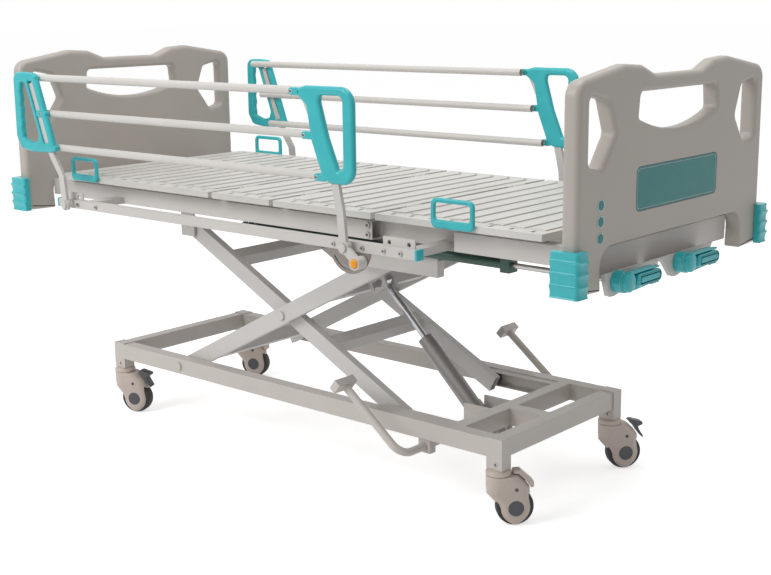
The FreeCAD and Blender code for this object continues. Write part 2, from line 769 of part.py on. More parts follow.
def bent_route(sketch, corners, bend):
    """A path of level and upright runs joined by round bends of one radius."""
    spots = [(as_size(across), as_size(up)) for across, up in corners]
    count = len(spots) - 1
    starts, ends = [], []
    for number in range(count):
        (ax, ay), (bx, by) = spots[number], spots[number + 1]
        reach = math.hypot(bx.value - ax.value, by.value - ay.value)
        ux, uy = (bx.value - ax.value) / reach, (by.value - ay.value) / reach
        first = bend.value if number > 0 else 0.0
        last = bend.value if number < count - 1 else 0.0
        starts.append((ax.value + ux * first, ay.value + uy * first, ux, uy))
        ends.append((bx.value - ux * last, by.value - uy * last))
    for number in range(count):
        sketch.addGeometry(Part.LineSegment(V(starts[number][0], starts[number][1], 0),
                                            V(ends[number][0], ends[number][1], 0)), False)
    for number in range(count - 1):
        before, after = starts[number], starts[number + 1]
        turn = before[2] * after[3] - before[3] * after[2]
        corner = spots[number + 1]
        hub = V(corner[0].value - before[2] * bend.value + after[2] * bend.value,
                corner[1].value - before[3] * bend.value + after[3] * bend.value, 0)
        angles = [math.atan2(ends[number][1] - hub.y, ends[number][0] - hub.x),
                  math.atan2(after[1] - hub.y, after[0] - hub.x)]
        if turn < 0:
            angles.reverse()
        circle = Part.Circle(hub, V(0, 0, 1), bend.value)
        arc = sketch.addGeometry(Part.ArcOfCircle(circle, angles[0], angles[1]), False)
        entry, leave = (1, 2) if turn > 0 else (2, 1)
        sketch.addConstraint(Sketcher.Constraint("Tangent", number, 2, arc, entry))
        sketch.addConstraint(Sketcher.Constraint("Tangent", number + 1, 1, arc, leave))
        held = sketch.addConstraint(Sketcher.Constraint("Radius", arc, bend.value))
        bind(sketch, "Constraints[%d]" % held, bend)
    for number in range(count):
        ux, uy = starts[number][2], starts[number][3]
        level = abs(ux) > abs(uy)
        sketch.addConstraint(Sketcher.Constraint("Horizontal" if level else "Vertical", number))
        if level:
            kinds = [("DistanceY", spots[number][1], 1)]
            ends_held = [("DistanceX", spots[number][0], 1, number == 0),
                         ("DistanceX", spots[number + 1][0], 2, number == count - 1)]
        else:
            kinds = [("DistanceX", spots[number][0], 1)]
            ends_held = [("DistanceY", spots[number][1], 1, number == 0),
                         ("DistanceY", spots[number + 1][1], 2, number == count - 1)]
        kinds += [(kind, size, end) for kind, size, end, wanted in ends_held if wanted]
        for kind, size, end in kinds:
            held = sketch.addConstraint(Sketcher.Constraint(kind, -1, 1, number, end, size.value))
            bind(sketch, "Constraints[%d]" % held, size)


def make_pedals():
    """Two foot pedals on stub shafts that share one axis."""
    pieces = []
    for side in (-1, 1):
        tag = "pedal_%d" % (side + 1)
        part = new_body(tag + "_tube")
        route = new_sketch(part, tag + "_route", "XY_Plane")
        start_y = pedal_inner_y(side)
        end_y = side * d.pedal_plane_y
        bent_route(route, [(0, start_y), (0, end_y), (d.pedal_reach, end_y)],
                   d.pedal_bend_radius)
        section = new_sketch(part, tag + "_section", "XZ_Plane", -start_y)
        ring(section, 0, 0, d.pedal_tube_radius)
        pipe = part.newObject("PartDesign::AdditivePipe", tag + "_pipe")
        pipe.Profile = section
        pipe.Spine = (route, ["Edge1", "Edge2", "Edge3"])
        pad_y = (end_y - 36, end_y + 36)
        foot_pad = block(tag + "_pad", (d.pedal_reach - 2, d.pedal_reach + 20), pad_y, (-16, 16))
        pieces.append(fuse(tag, part, foot_pad))
    group = keep("pump_pedals", *pieces)
    place(group, d.pedal_shaft_x, 0, d.pedal_shaft_z, (0, -1, 0), d.pedal_angle)


# bed frame: side tubes, set back where the two halves are spliced, and cross tubes
bed_top_z = d.bed_tube_z + d.bed_tube_height
bed_z = (d.bed_tube_z, bed_top_z)
bed_inner_y = d.bed_half_width - d.bed_tube_width
leg_rest_x = d.deck_foot_x - 40
splice_inner_y = bed_inner_y - d.bed_tube_width
lift_channel_web_y = arm_face_y + d.channel_depth + 3
lift_channel_z = (bed_pivot_z - channel_half, bed_pivot_z + channel_half)


def make_bed_frame():
    pieces = []
    for side in (-1, 1):
        outer = both_sides(side, bed_inner_y, d.bed_half_width)
        inner = both_sides(side, splice_inner_y, bed_inner_y)
        tag = side + 1
        pieces.append(box_tube("head_side_tube_%d" % tag, "x", (d.bed_head_x, d.splice_head_x),
                               outer, bed_z, d.tube_wall))
        pieces.append(box_tube("foot_side_tube_%d" % tag, "x", (d.splice_foot_x, d.bed_foot_x),
                               outer, bed_z, d.tube_wall))
        pieces.append(box_tube("splice_tube_%d" % tag, "x",
                               (d.splice_head_x - d.splice_overlap,
                                d.splice_foot_x + d.splice_overlap),
                               inner, bed_z, d.tube_wall))
        # outriggers carry the guard tube outside the deck
        guard_z = (d.guard_pivot_z - d.guard_tube_size / 2, d.guard_pivot_z + d.guard_tube_size / 2)
        guard_inner_y = d.guard_tube_face_y - d.guard_tube_size
        for name, x, start in (("head", d.head_outrigger_x, d.bed_half_width),
                               ("foot", d.foot_outrigger_x, bed_inner_y)):
            low_z = d.bed_tube_z
            pieces.append(box_tube("%s_outrigger_%d" % (name, tag), "y", (x - 20, x + 20),
                                   both_sides(side, start, guard_inner_y),
                                   (low_z, guard_z[1]), d.tube_wall))
        channel_x = (d.lift_channel_foot_x - d.lift_channel_length, d.lift_channel_foot_x)
        pieces.append(make_channel("lift_channel_%d" % tag, side, channel_x, lift_channel_web_y,
                                   lift_channel_z))
        pieces.append(block("channel_hanger_%d" % tag, channel_x,
                            both_sides(side, lift_channel_web_y - 4, lift_channel_web_y),
                            (lift_channel_z[1], d.bed_tube_z)))
        hinge_plate_y = both_sides(side, inner_arm_face_y + 4, inner_arm_face_y + 10)
        pieces.append(block("lift_hinge_plate_%d" % tag,
                            (d.arm_pivot_x - 30, d.arm_pivot_x + 30), hinge_plate_y,
                            (bed_pivot_z - 30, d.bed_tube_z)))
        pieces.append(fuse("bed_hinge_bolt_%d" % tag,
                           rod("bed_hinge_shank_%d" % tag, "y",
                               both_sides(side, inner_arm_inner_y - 2, inner_arm_face_y + 4),
                               (d.arm_pivot_x, bed_pivot_z), d.arm_bolt_radius),
                           rod("bed_hinge_washer_%d" % tag, "y",
                               both_sides(side, inner_arm_face_y + 0.5, inner_arm_face_y + 4),
                               (d.arm_pivot_x, bed_pivot_z), d.arm_bolt_radius * 1.7)))
    full = (-bed_inner_y, bed_inner_y)
    short = (-splice_inner_y, splice_inner_y)
    for name, middle, reach in (("head_end", d.bed_head_x + d.bed_tube_width / 2, full),
                                ("head", d.head_outrigger_x, full),
                                ("lift", d.arm_pivot_x, full),
                                ("back_hinge", d.back_hinge_x + d.seat_tube_setback, full),
                                ("seat", d.seat_foot_x - d.thigh_tube_setback, full),
                                ("splice_head", d.splice_head_x, short),
                                ("foot", d.foot_outrigger_x, short),
                                ("leg", d.foot_outrigger_x + 200, full),
                                ("foot_end", d.bed_foot_x - d.bed_tube_width / 2, full)):
        pieces.append(box_tube(name + "_cross_tube", "y",
                               (middle - d.bed_tube_width / 2, middle + d.bed_tube_width / 2),
                               reach, bed_z, d.tube_wall))
    pieces.extend(hinge_pins("back", d.back_hinge_x, d.back_hinge_x + d.seat_tube_setback, True))
    pieces.extend(hinge_pins("seat", d.seat_foot_x, d.seat_foot_x - d.thigh_tube_setback, True))
    under_sheet = d.deck_top_z - d.rib_height - d.deck_sheet
    under_skirt = d.deck_top_z - d.deck_skirt
    for side in (-1, 1):
        for name, x, top in (("back", d.deck_head_x + 40, under_sheet - d.running_gap),
                             ("seat_head", d.back_hinge_x + d.seat_tube_setback, under_sheet),
                             ("seat_foot", d.seat_foot_x - d.thigh_tube_setback, under_sheet),
                             ("thigh", d.knee_x - 60, under_sheet - d.running_gap),
                             ("leg", leg_rest_x, under_skirt - d.running_gap)):
            tall = bed_inner_y + d.bed_tube_width / 2
            middle = tall if name != "thigh" else tall - d.bed_tube_width
            pieces.append(rod("%s_rest_%d" % (name, side + 1), "z", (bed_top_z, top),
                              (x, side * middle), as_size(12)))
    for name, y in (("back", d.near_crank_y), ("knee", d.middle_crank_y)):
        plate = block(name + "_crank_bracket", (bracket_x - 3, bracket_x + 3), (y - 24, y + 24),
                      (d.crank_axis_z - 26, d.bed_tube_z))
        pieces.append(cut(name + "_crank_bracket_body", plate,
                          rod(name + "_crank_bracket_bore", "x",
                              (bracket_x - 4, bracket_x + 4), (y, d.crank_axis_z),
                              d.crank_screw_radius + d.running_gap)))
    keep("bed_frame", *pieces)


def arc_outline(sketch, corners):
    """A closed outline, drawn clockwise where it is round.

    A corner with four numbers starts an arc through its second pair.
    """
    spots = [tuple(as_size(value) for value in corner) for corner in corners]
    first = sketch.GeometryCount
    for number, spot in enumerate(spots):
        nxt = spots[(number + 1) % len(spots)]
        start, end = V(spot[0].value, spot[1].value, 0), V(nxt[0].value, nxt[1].value, 0)
        if len(spot) == 4:
            bow = Part.Arc(start, V(spot[2].value, spot[3].value, 0), end).toShape().Curve
            centre = bow.Center
            # the outline runs clockwise round the arc, so the arc's own start is its end
            angles = [math.atan2(point.y - centre.y, point.x - centre.x)
                      for point in (end, start)]
            circle = Part.Circle(centre, V(0, 0, 1), bow.Radius)
            sketch.addGeometry(Part.ArcOfCircle(circle, *angles), False)
        else:
            sketch.addGeometry(Part.LineSegment(start, end), False)
    for number, spot in enumerate(spots):
        here = first + number
        begin = 2 if len(spot) == 4 else 1
        hold_point(sketch, here, begin, spot[0], spot[1])
        nxt = spots[(number + 1) % len(spots)]
        if len(spot) == 4:
            hold_point(sketch, here, 3 - begin, nxt[0], nxt[1])
            point = sketch.addGeometry(Part.Point(V(spot[2].value, spot[3].value, 0)), True)
            sketch.addConstraint(Sketcher.Constraint("PointOnObject", point, 1, here))
            held = sketch.addConstraint(
                Sketcher.Constraint("DistanceY", -1, 1, point, 1, spot[3].value))
            bind(sketch, "Constraints[%d]" % held, spot[3])
            held = sketch.addConstraint(
                Sketcher.Constraint("DistanceX", -1, 1, point, 1, spot[2].value))
            bind(sketch, "Constraints[%d]" % held, spot[2])
        else:
            hold_point(sketch, here, 2, nxt[0], nxt[1])


def mirrored(half):
    """The corners of one half, then their mirror images in the opposite order."""
    return list(half) + [(-as_size(across), up) for across, up in reversed(half)]


# head and foot boards: one moulding with a handhold, two side slots and an arch between legs
def make_board(name, face_x, side, mounts_badge):
    """face_x is the plane against the bed frame; side is 1 at the foot and -1 at the head."""
    board = new_body(name + "_moulding")
    shape = new_sketch(board, name + "_shape", "YZ_Plane")
    grip_y = 112
    half = [(d.board_leg_inner_y, d.board_foot_z), (d.board_half_width, d.board_foot_z),
            (d.board_half_width, d.board_corner_z), (d.board_half_width - 202, d.board_peak_z),
            (grip_y + 63, d.board_peak_z - 5), (grip_y, d.board_dip_z)]
    outline(shape, mirrored(half) + [(-d.board_leg_inner_y, d.board_arch_z),
                                     (d.board_leg_inner_y, d.board_arch_z)])
    pad(board, shape, d.board_thickness, name + "_pad")
    top = d.board_corner_z
    spots = [(None, sign * y, z) for sign in (-1, 1)
             for y, z in ((d.board_half_width, top), (d.board_leg_inner_y, d.board_arch_z))]

    def at_corner(edge, wanted):
        middle = edge.CenterOfMass
        return any(abs(middle.y - as_size(y).value) < 1 and abs(middle.z - as_size(z).value) < 1
                   for _, y, z in wanted)

    round_edges(board, name + "_corners", as_size(32),
                lambda edge: lies_along(edge, V(1, 0, 0)) and at_corner(edge, spots))
    crest = [(None, sign * y, z) for sign in (-1, 1)
             for y, z in ((d.board_half_width - 202, d.board_peak_z),
                          (as_size(grip_y + 63), d.board_peak_z - 5),
                          (as_size(grip_y), d.board_dip_z))]
    round_edges(board, name + "_crest", as_size(28),
                lambda edge: lies_along(edge, V(1, 0, 0)) and at_corner(edge, crest))
    hole = new_sketch(board, name + "_handhold", "YZ_Plane")
    arc_outline(hole, [(-185, d.board_grip_z), (185, d.board_grip_z),
                       (192, d.board_grip_z - 60, 0, d.board_grip_z - 96),
                       (-192, d.board_grip_z - 60)])
    pocket(board, hole, d.board_thickness, name + "_handhold_cut", True)
    slots = new_sketch(board, name + "_slots", "YZ_Plane")
    for sign in (-1, 1):
        outline(slots, [(sign * 405, 1135), (sign * 405, 975), (sign * 352, 962),
                        (sign * 294, 1040), (sign * 325, 1118)])
    pocket(board, slots, d.board_thickness, name + "_slots_cut", True)
    holes = [(None, sign * y, z) for sign in (-1, 1)
             for y, z in ((405, 1135), (405, 975), (352, 962), (294, 1040), (325, 1118),
                          (185, d.board_grip_z), (192, d.board_grip_z - 60))]
    round_edges(board, name + "_hole_corners", as_size(14),
                lambda edge: lies_along(edge, V(1, 0, 0)) and at_corner(edge, holes))

    def on_face(edge):
        ends = [vertex.Point.x for vertex in edge.Vertexes]
        flat = max(ends) - min(ends) < 1e-6
        return flat and min(abs(ends[0]), abs(ends[0] - d.board_thickness.value)) < 1e-6

    bevel_edges(board, name + "_face_edges", d.board_edge_round, on_face)
    if mounts_badge:
        recess = new_sketch(board, name + "_recess", "YZ_Plane", d.board_thickness)
        outline(recess, [(-d.badge_length / 2, d.badge_foot_z), (d.badge_length / 2, d.badge_foot_z),
                         (d.badge_length / 2, d.badge_foot_z + d.badge_height),
                         (-d.badge_length / 2, d.badge_foot_z + d.badge_height)])
        pocket(board, recess, as_size(3), name + "_recess_cut")
    keep(name, board)
    place(board, face_x if side > 0 else face_x - d.board_thickness)


def make_inlays():
    face = d.bed_foot_x + d.board_thickness
    edge = d.running_gap
    badge = block("badge_plate", (face - 3, face - 1),
                  (-d.badge_length / 2 + edge, d.badge_length / 2 - edge),
                  (d.badge_foot_z + edge, d.badge_foot_z + d.badge_height - edge))
    dots = [rod("dot_%d" % number, "x", (face, face + 2), (-355, z), as_size(13.5))
            for number, z in enumerate((807, 846, 884))]
    keep("footboard_inlays", badge, *dots)


def make_bumpers():
    """A ribbed corner buffer round each lower corner of both boards."""
    pieces = []
    rib = 16
    count = 5
    for end, face_x in ((1, d.bed_foot_x + d.board_thickness),
                        (-1, d.bed_head_x - d.board_thickness)):
        for side in (-1, 1):
            tag = "bumper_%d_%d" % (end + 1, side + 1)
            part = new_body(tag)
            inner_x = face_x + end * d.running_gap
            inner_y = side * (d.board_half_width + d.running_gap)
            outer_x = face_x + end * d.bumper_cover
            outer_y = side * (d.board_half_width + d.bumper_cover + 3)
            tip_x = outer_x - end * d.bumper_side_reach
            tip_y = outer_y - side * d.bumper_front_reach
            corner = 12

            def layer(groove):
                far_x, far_y = outer_x - end * groove, outer_y - side * groove
                return [(inner_x, inner_y), (inner_x, tip_y), (far_x, tip_y),
                        (far_x, far_y - side * corner), (far_x - end * corner, far_y),
                        (tip_x, far_y), (tip_x, inner_y)]

            core = new_sketch(part, tag + "_core", "XY_Plane", d.bumper_foot_z)
            outline(core, layer(3))
            pad(part, core, d.bumper_height, tag + "_core_pad")
            ribs = new_sketch(part, tag + "_rib", "XY_Plane", d.bumper_foot_z)
            outline(ribs, layer(0))
            first = pad(part, ribs, as_size(rib), tag + "_rib_pad")
            rows = part.newObject("PartDesign::LinearPattern", tag + "_ribs")
            rows.Originals = [first]
            rows.Direction = (ribs, ["N_Axis"])
            rows.Occurrences = count
            bind(rows, "Length", d.bumper_height - rib)
            part.Tip = rows
            pieces.append(part)
    keep("corner_bumpers", *pieces)


# deck: four pressed trays that hinge on pins across the bed frame
hinge_z = d.deck_top_z - 7
half_gap = d.section_gap / 2


def deck_tray(name, head_x, foot_x):
    """An upside-down tray with raised ribs across its top."""
    part = new_body(name + "_tray")
    low_z = d.deck_top_z - d.deck_skirt
    sheet_z = d.deck_top_z - d.rib_height
    rim = new_sketch(part, name + "_rim", "XY_Plane", low_z)
    outline(rim, [(head_x, -d.deck_half_width), (foot_x, -d.deck_half_width),
                  (foot_x, d.deck_half_width), (head_x, d.deck_half_width)])
    pad(part, rim, sheet_z - low_z, name + "_rim_pad")
    inside = new_sketch(part, name + "_inside", "XY_Plane", low_z)
    wall = d.deck_sheet
    outline(inside, [(head_x + wall, -d.deck_half_width + wall),
                     (foot_x - wall, -d.deck_half_width + wall),
                     (foot_x - wall, d.deck_half_width - wall),
                     (head_x + wall, d.deck_half_width - wall)])
    pocket(part, inside, sheet_z - low_z - wall, name + "_inside_cut", True)
    span = foot_x - head_x
    count = int((span.value - d.rib_pitch.value) // d.rib_pitch.value) + 1
    margin = (span - d.rib_pitch * (count - 1)) / 2
    start = head_x + margin - d.rib_width / 2
    rib_y = d.deck_half_width - 46
    rib = new_sketch(part, name + "_rib", "XY_Plane", sheet_z)
    outline(rib, [(start, -rib_y), (start + d.rib_width, -rib_y),
                  (start + d.rib_width, rib_y), (start, rib_y)])
    first = pad(part, rib, d.rib_height, name + "_rib_pad")
    slots = new_sketch(part, name + "_slot", "XY_Plane", sheet_z)
    for sign in (-1, 1):
        low, high = both_sides(sign, rib_y + 8, rib_y + 30)
        middle = start + d.rib_width / 2
        outline(slots, [(middle - 5, low), (middle + 5, low), (middle + 5, high),
                        (middle - 5, high)])
    second = pocket(part, slots, wall, name + "_slot_cut")
    rows = part.newObject("PartDesign::LinearPattern", name + "_rows")
    rows.Originals = [first, second]
    rows.Direction = (rib, ["H_Axis"])
    rows.Occurrences = count
    bind(rows, "Length", d.rib_pitch * (count - 1))
    part.Tip = rows
    return part


def knuckles(name, x, edge_x):
    """Two hinge barrels on a section's edge, with the tabs that carry them."""
    pieces = []
    for side in (-1, 1):
        low, high = both_sides(side, 216, 268)
        tab_x = (x, edge_x) if edge_x.value > x.value else (edge_x, x)
        tab = block("%s_tab_%d" % (name, side + 1), tab_x, (low, high),
                    (hinge_z - 6, hinge_z + 1))
        barrel = rod("%s_barrel_%d" % (name, side + 1), "y", (low, high), (x, hinge_z),
                     as_size(7))
        bore = rod("%s_bore_%d" % (name, side + 1), "y", (low - 1, high + 1), (x, hinge_z),
                   as_size(4.2))
        pieces.append(cut("%s_knuckle_%d" % (name, side + 1),
                          fuse("%s_knuckle_%d_body" % (name, side + 1), tab, barrel), bore))
    return pieces


def hinge_pins(name, x, plate_from_x, in_frame):
    """The hinge pins of one axis, each between two lug plates."""
    pieces = []
    for side in (-1, 1):
        low, high = both_sides(side, 206, 278)
        pin = rod("%s_pin_%d" % (name, side + 1), "y", (low, high), (x, hinge_z), as_size(4))
        lugs = []
        for number, inner in enumerate((206, 272)):
            span = both_sides(side, inner, inner + 6)
            if plate_from_x.value > x.value:
                reach_x, upright_x = (x - 6, plate_from_x), (x - 6, x + 6)
            else:
                reach_x, upright_x = (plate_from_x, x + 6), (x - 6, x + 6)
            if in_frame:
                lugs.append(block("%s_lug_%d_%d" % (name, side + 1, number), reach_x, span,
                                  (bed_top_z, d.deck_top_z - d.deck_skirt - 1)))
                lugs.append(block("%s_upright_%d_%d" % (name, side + 1, number), upright_x,
                                  span, (bed_top_z, hinge_z)))
            else:
                lugs.append(block("%s_lug_%d_%d" % (name, side + 1, number),
                                  (plate_from_x, x), span, (hinge_z - 6, hinge_z + 4)))
            lugs.append(rod("%s_eye_%d_%d" % (name, side + 1, number), "y", span,
                            (x, hinge_z), as_size(6)))
        pieces.append(fuse("%s_hinge_%d" % (name, side + 1), pin, *lugs))
    return pieces


def lever(name, top_x, y, foot_x, slot_x, slot_z):
    """A slotted lever plate that hangs from a section to a drive tube's fork.

    The slot spans slot_x and slot_z about the pin at rest, so that the pin can wander in it.
    """
    top_z = d.deck_top_z - d.rib_height - d.deck_sheet
    below_skirt_z = d.deck_top_z - d.deck_skirt - 2
    part = new_body(name)
    side_view = new_sketch(part, name + "_side", "XZ_Plane", -(y - 6))
    rim = 9
    low_x, high_x = foot_x + slot_x[0] - rim, foot_x + slot_x[1] + rim
    low_z, high_z = d.crank_axis_z + slot_z[0] - rim, d.crank_axis_z + slot_z[1] + rim
    outline(side_view, [(top_x - 10, top_z), (top_x + 10, top_z), (top_x + 10, below_skirt_z),
                        (foot_x + 8, high_z), (high_x, high_z), (high_x, low_z),
                        (low_x, low_z), (low_x, high_z), (top_x - 10, below_skirt_z)])
    pad(part, side_view, 12, name + "_pad", True)
    slot = block(name + "_slot", (foot_x + slot_x[0], foot_x + slot_x[1]), (y - 8, y + 8),
                 (d.crank_axis_z + slot_z[0], d.crank_axis_z + slot_z[1]))
    return cut(name + "_plate", part, slot)


def make_deck():
    back = deck_tray("back", d.deck_head_x, d.back_hinge_x - half_gap)
    keep("back_section", back, *knuckles("back", d.back_hinge_x, d.back_hinge_x - half_gap),
         lever("back_lever", d.back_hinge_x - half_gap - d.deck_sheet - 11, d.near_crank_y,
               back_pin_x, (-8, 28), (-14, 15.5)))
    keep("seat_section", deck_tray("seat", d.back_hinge_x + half_gap, d.seat_foot_x - half_gap))
    thigh = deck_tray("thigh", d.seat_foot_x + half_gap, d.knee_x - half_gap)
    keep("thigh_section", thigh,
         *knuckles("thigh", d.seat_foot_x, d.seat_foot_x + half_gap),
         *hinge_pins("knee", d.knee_x, d.knee_x - half_gap, False),
         lever("knee_lever", d.seat_foot_x + half_gap + d.deck_sheet + 12, d.middle_crank_y,
               knee_pin_x, (-11, 6), (-13, 7.5)))
    feet = [rod("leg_rest_foot_%d" % (side + 1), "z",
                (d.deck_top_z - d.deck_skirt, d.deck_top_z - d.rib_height - d.deck_sheet),
                (leg_rest_x, side * (bed_inner_y + d.bed_tube_width / 2)), as_size(12))
            for side in (-1, 1)]
    keep("leg_section", deck_tray("leg", d.knee_x + half_gap, d.deck_foot_x), *feet,
         *knuckles("leg", d.knee_x, d.knee_x + half_gap))
    for name, start in (("back", d.back_stop_x), ("leg", d.leg_stop_x)):
        loops = []
        for side in (-1, 1):
            y = side * (d.deck_half_width + d.running_gap + d.stop_radius)
            tag = "%s_stop_%d" % (name, side + 1)
            part = new_body(tag)
            route = new_sketch(part, tag + "_route", "XZ_Plane", -y)
            low = d.deck_top_z - d.deck_skirt + 2
            high = d.deck_top_z + d.stop_height - d.stop_radius
            left = start + d.stop_radius
            right = start + d.stop_length - d.stop_radius
            bent_route(route, [(left, low), (left, high), (right, high), (right, low)],
                       d.stop_bend)
            section = new_sketch(part, tag + "_section", "XY_Plane", low)
            ring(section, left, y, d.stop_radius)
            pipe = part.newObject("PartDesign::AdditivePipe", tag + "_pipe")
            pipe.Profile = section
            pipe.Spine = (route, ["Edge%d" % number for number in range(1, 6)])
            loops.append(part)
        keep(name + "_mattress_stops", *loops)


# cranks: a screw turns in the foot end bracket and draws its drive tube along
back_pin_x = d.back_hinge_x + 48
knee_pin_x = d.seat_foot_x - 18
bracket_x = d.bed_foot_x - d.bed_tube_width / 2


def make_crank(name, y, tube_head_x, tube_foot_x):
    axis = (y, d.crank_axis_z)
    shaft = rod(name + "_shaft", "x", (tube_foot_x - 90, d.crank_hub_x), axis,
                d.crank_screw_radius)
    flanges = [rod("%s_flange_%d" % (name, number), "x", (start, start + 8), axis,
                   d.crank_screw_radius + 7)
               for number, start in enumerate((bracket_x - 3 - 0.5 - 8, bracket_x + 3 + 0.5))]
    hub = rod(name + "_hub", "x", (d.crank_hub_x, d.crank_hub_x + d.crank_hub_length), axis,
              d.crank_hub_radius)
    keep(name + "_crank_screw", fuse(name + "_screw_body", shaft, hub, *flanges))
    arm_x = d.crank_hub_x + d.crank_hub_length
    half = d.crank_arm_height / 2
    plate = new_body(name + "_arm_plate")
    face = new_sketch(plate, name + "_arm_face", "YZ_Plane", arm_x)
    tip = y + d.crank_arm_length
    z = d.crank_axis_z
    outline(face, [(y - half, z - half), (y + half, z - half), (tip, z - half + 8),
                   (tip + 14, z), (tip, z + half - 8), (y + half, z + half),
                   (y - half, z + half)])
    pad(plate, face, d.crank_arm_thick, name + "_arm_pad")
    grip_bore = rod(name + "_grip_bore", "z", (z - half - 1, z + half + 1),
                    (arm_x + d.crank_arm_thick / 2, tip), as_size(4.2))
    channel = block(name + "_grip_room", (arm_x + 2, arm_x + d.crank_arm_thick + 1),
                    (y + 18, tip + 15), (z - 9.5, z + 9.5))
    keep(name + "_crank_arm", cut(name + "_arm_body", plate, grip_bore, channel))
    grip_x = arm_x + d.crank_arm_thick / 2
    grip = rod(name + "_grip_bar", "y", (y + 24, tip - 6), (grip_x + 4, z), as_size(9))
    head = fuse(name + "_grip_head",
                block(name + "_grip_neck", (grip_x - 3, grip_x + 6), (tip - 8, tip),
                      (z - 9, z + 9)),
                rod(name + "_grip_knuckle", "z", (z - 9, z + 9), (grip_x, tip), as_size(5.2)))
    pin = rod(name + "_grip_pin", "z", (z - 13, z + 13), (grip_x, tip), as_size(4))
    keep(name + "_crank_grip", fuse(name + "_grip_body", grip, head, pin))
    wall = 2.5
    outer = d.drive_tube_radius
    tube = round_tube(name + "_tube", "x", (tube_head_x + 56, tube_foot_x - 28), axis, outer,
                      as_size(wall))
    nut = block(name + "_nut", (tube_foot_x - 28, tube_foot_x), (y - 18, y + 18),
                (z - 18, z + 18))
    nut = cut(name + "_nut_body", nut,
              rod(name + "_nut_bore", "x", (tube_foot_x - 29, tube_foot_x + 1), axis,
                  d.crank_screw_radius + d.running_gap))
    bridge = block(name + "_fork_bridge", (tube_head_x + 46, tube_head_x + 56),
                   (y - 17, y + 17), (z - outer, z + outer))
    pieces = [tube, nut, bridge]
    for side in (-1, 1):
        low, high = sorted((y + side * 11, y + side * 17), key=lambda size: size.value)
        cheek = block("%s_fork_%d" % (name, side + 1), (tube_head_x - 12, tube_head_x + 46),
                      (low, high), (z - 12, z + 12))
        pieces.append(cheek)
    pin = rod(name + "_fork_pin", "y", (y - 20, y + 20), (tube_head_x, z), as_size(5))
    keep(name + "_drive_tube", fuse(name + "_drive_body", pin, *pieces))


# side guards: two posts on each side fold together and carry three rails
pivot_gap = d.guard_tube_face_y + 13
post_face_y = pivot_gap + 1
rail_y = d.guard_tube_face_y + 1


def guard_point(lean, rise, head=False):
    """A point of the guard beside its foot pivot, or beside its head pivot."""
    start = d.guard_pivot_x - d.guard_pitch if head else d.guard_pivot_x
    return (start - lean, d.guard_pivot_z + rise)


def guard_outline(sketch, points, head):
    base_x = d.guard_pivot_x - d.guard_pitch if head else d.guard_pivot_x
    outline(sketch, [(base_x + across, d.guard_pivot_z + up) for across, up in points])


RAILS = (("bottom", "low_rail_lean", "low_rail_rise"),
         ("middle", "middle_rail_lean", "middle_rail_rise"),
         ("top", "top_rail_lean", "top_rail_rise"))
FOOT_POST = [(12, 1), (4, 89), (-12, 163), (-50, 236), (-108, 374), (-131, 365), (-72, 244),
             (-36, 157), (-20, 87), (-12, -1)]
HEAD_POST = [(12, 1), (4, 89), (-44, 160), (-84, 246), (-130, 372), (-154, 366), (-107, 238),
             (-66, 150), (-20, 87), (-12, -1)]
FOOT_HANDLE = [(-158, 393), (-143, 403), (6, 392), (39, 371), (38, 204), (17, 172), (-24, 158),
               (-62, 160), (-92, 240), (-134, 334)]
FOOT_OPENING = [(-76, 368), (-20, 370), (-5, 355), (-2, 205), (-12, 192), (-40, 250),
                (-76, 350)]
HEAD_HANDLE = [(-244, 401), (-178, 404), (-132, 386), (-102, 319), (-55, 172), (-68, 159),
               (-132, 155), (-175, 162), (-228, 214), (-252, 344)]
HEAD_OPENING = [(-215, 366), (-168, 366), (-130, 215), (-136, 200), (-168, 196), (-196, 222)]


def y_span(side, low, high):
    """The sketch height and pad length for a plate between two distances from the middle."""
    inner, outer = both_sides(side, low, high)
    return -inner, outer - inner


def make_post(name, side, head, points, low_y, high_y):
    part = new_body(name + "_bar")
    height, thick = y_span(side, low_y, high_y)
    view = new_sketch(part, name + "_view", "XZ_Plane", height)
    guard_outline(view, points, head)
    pad(part, view, thick, name + "_bar_pad", True)
    return part


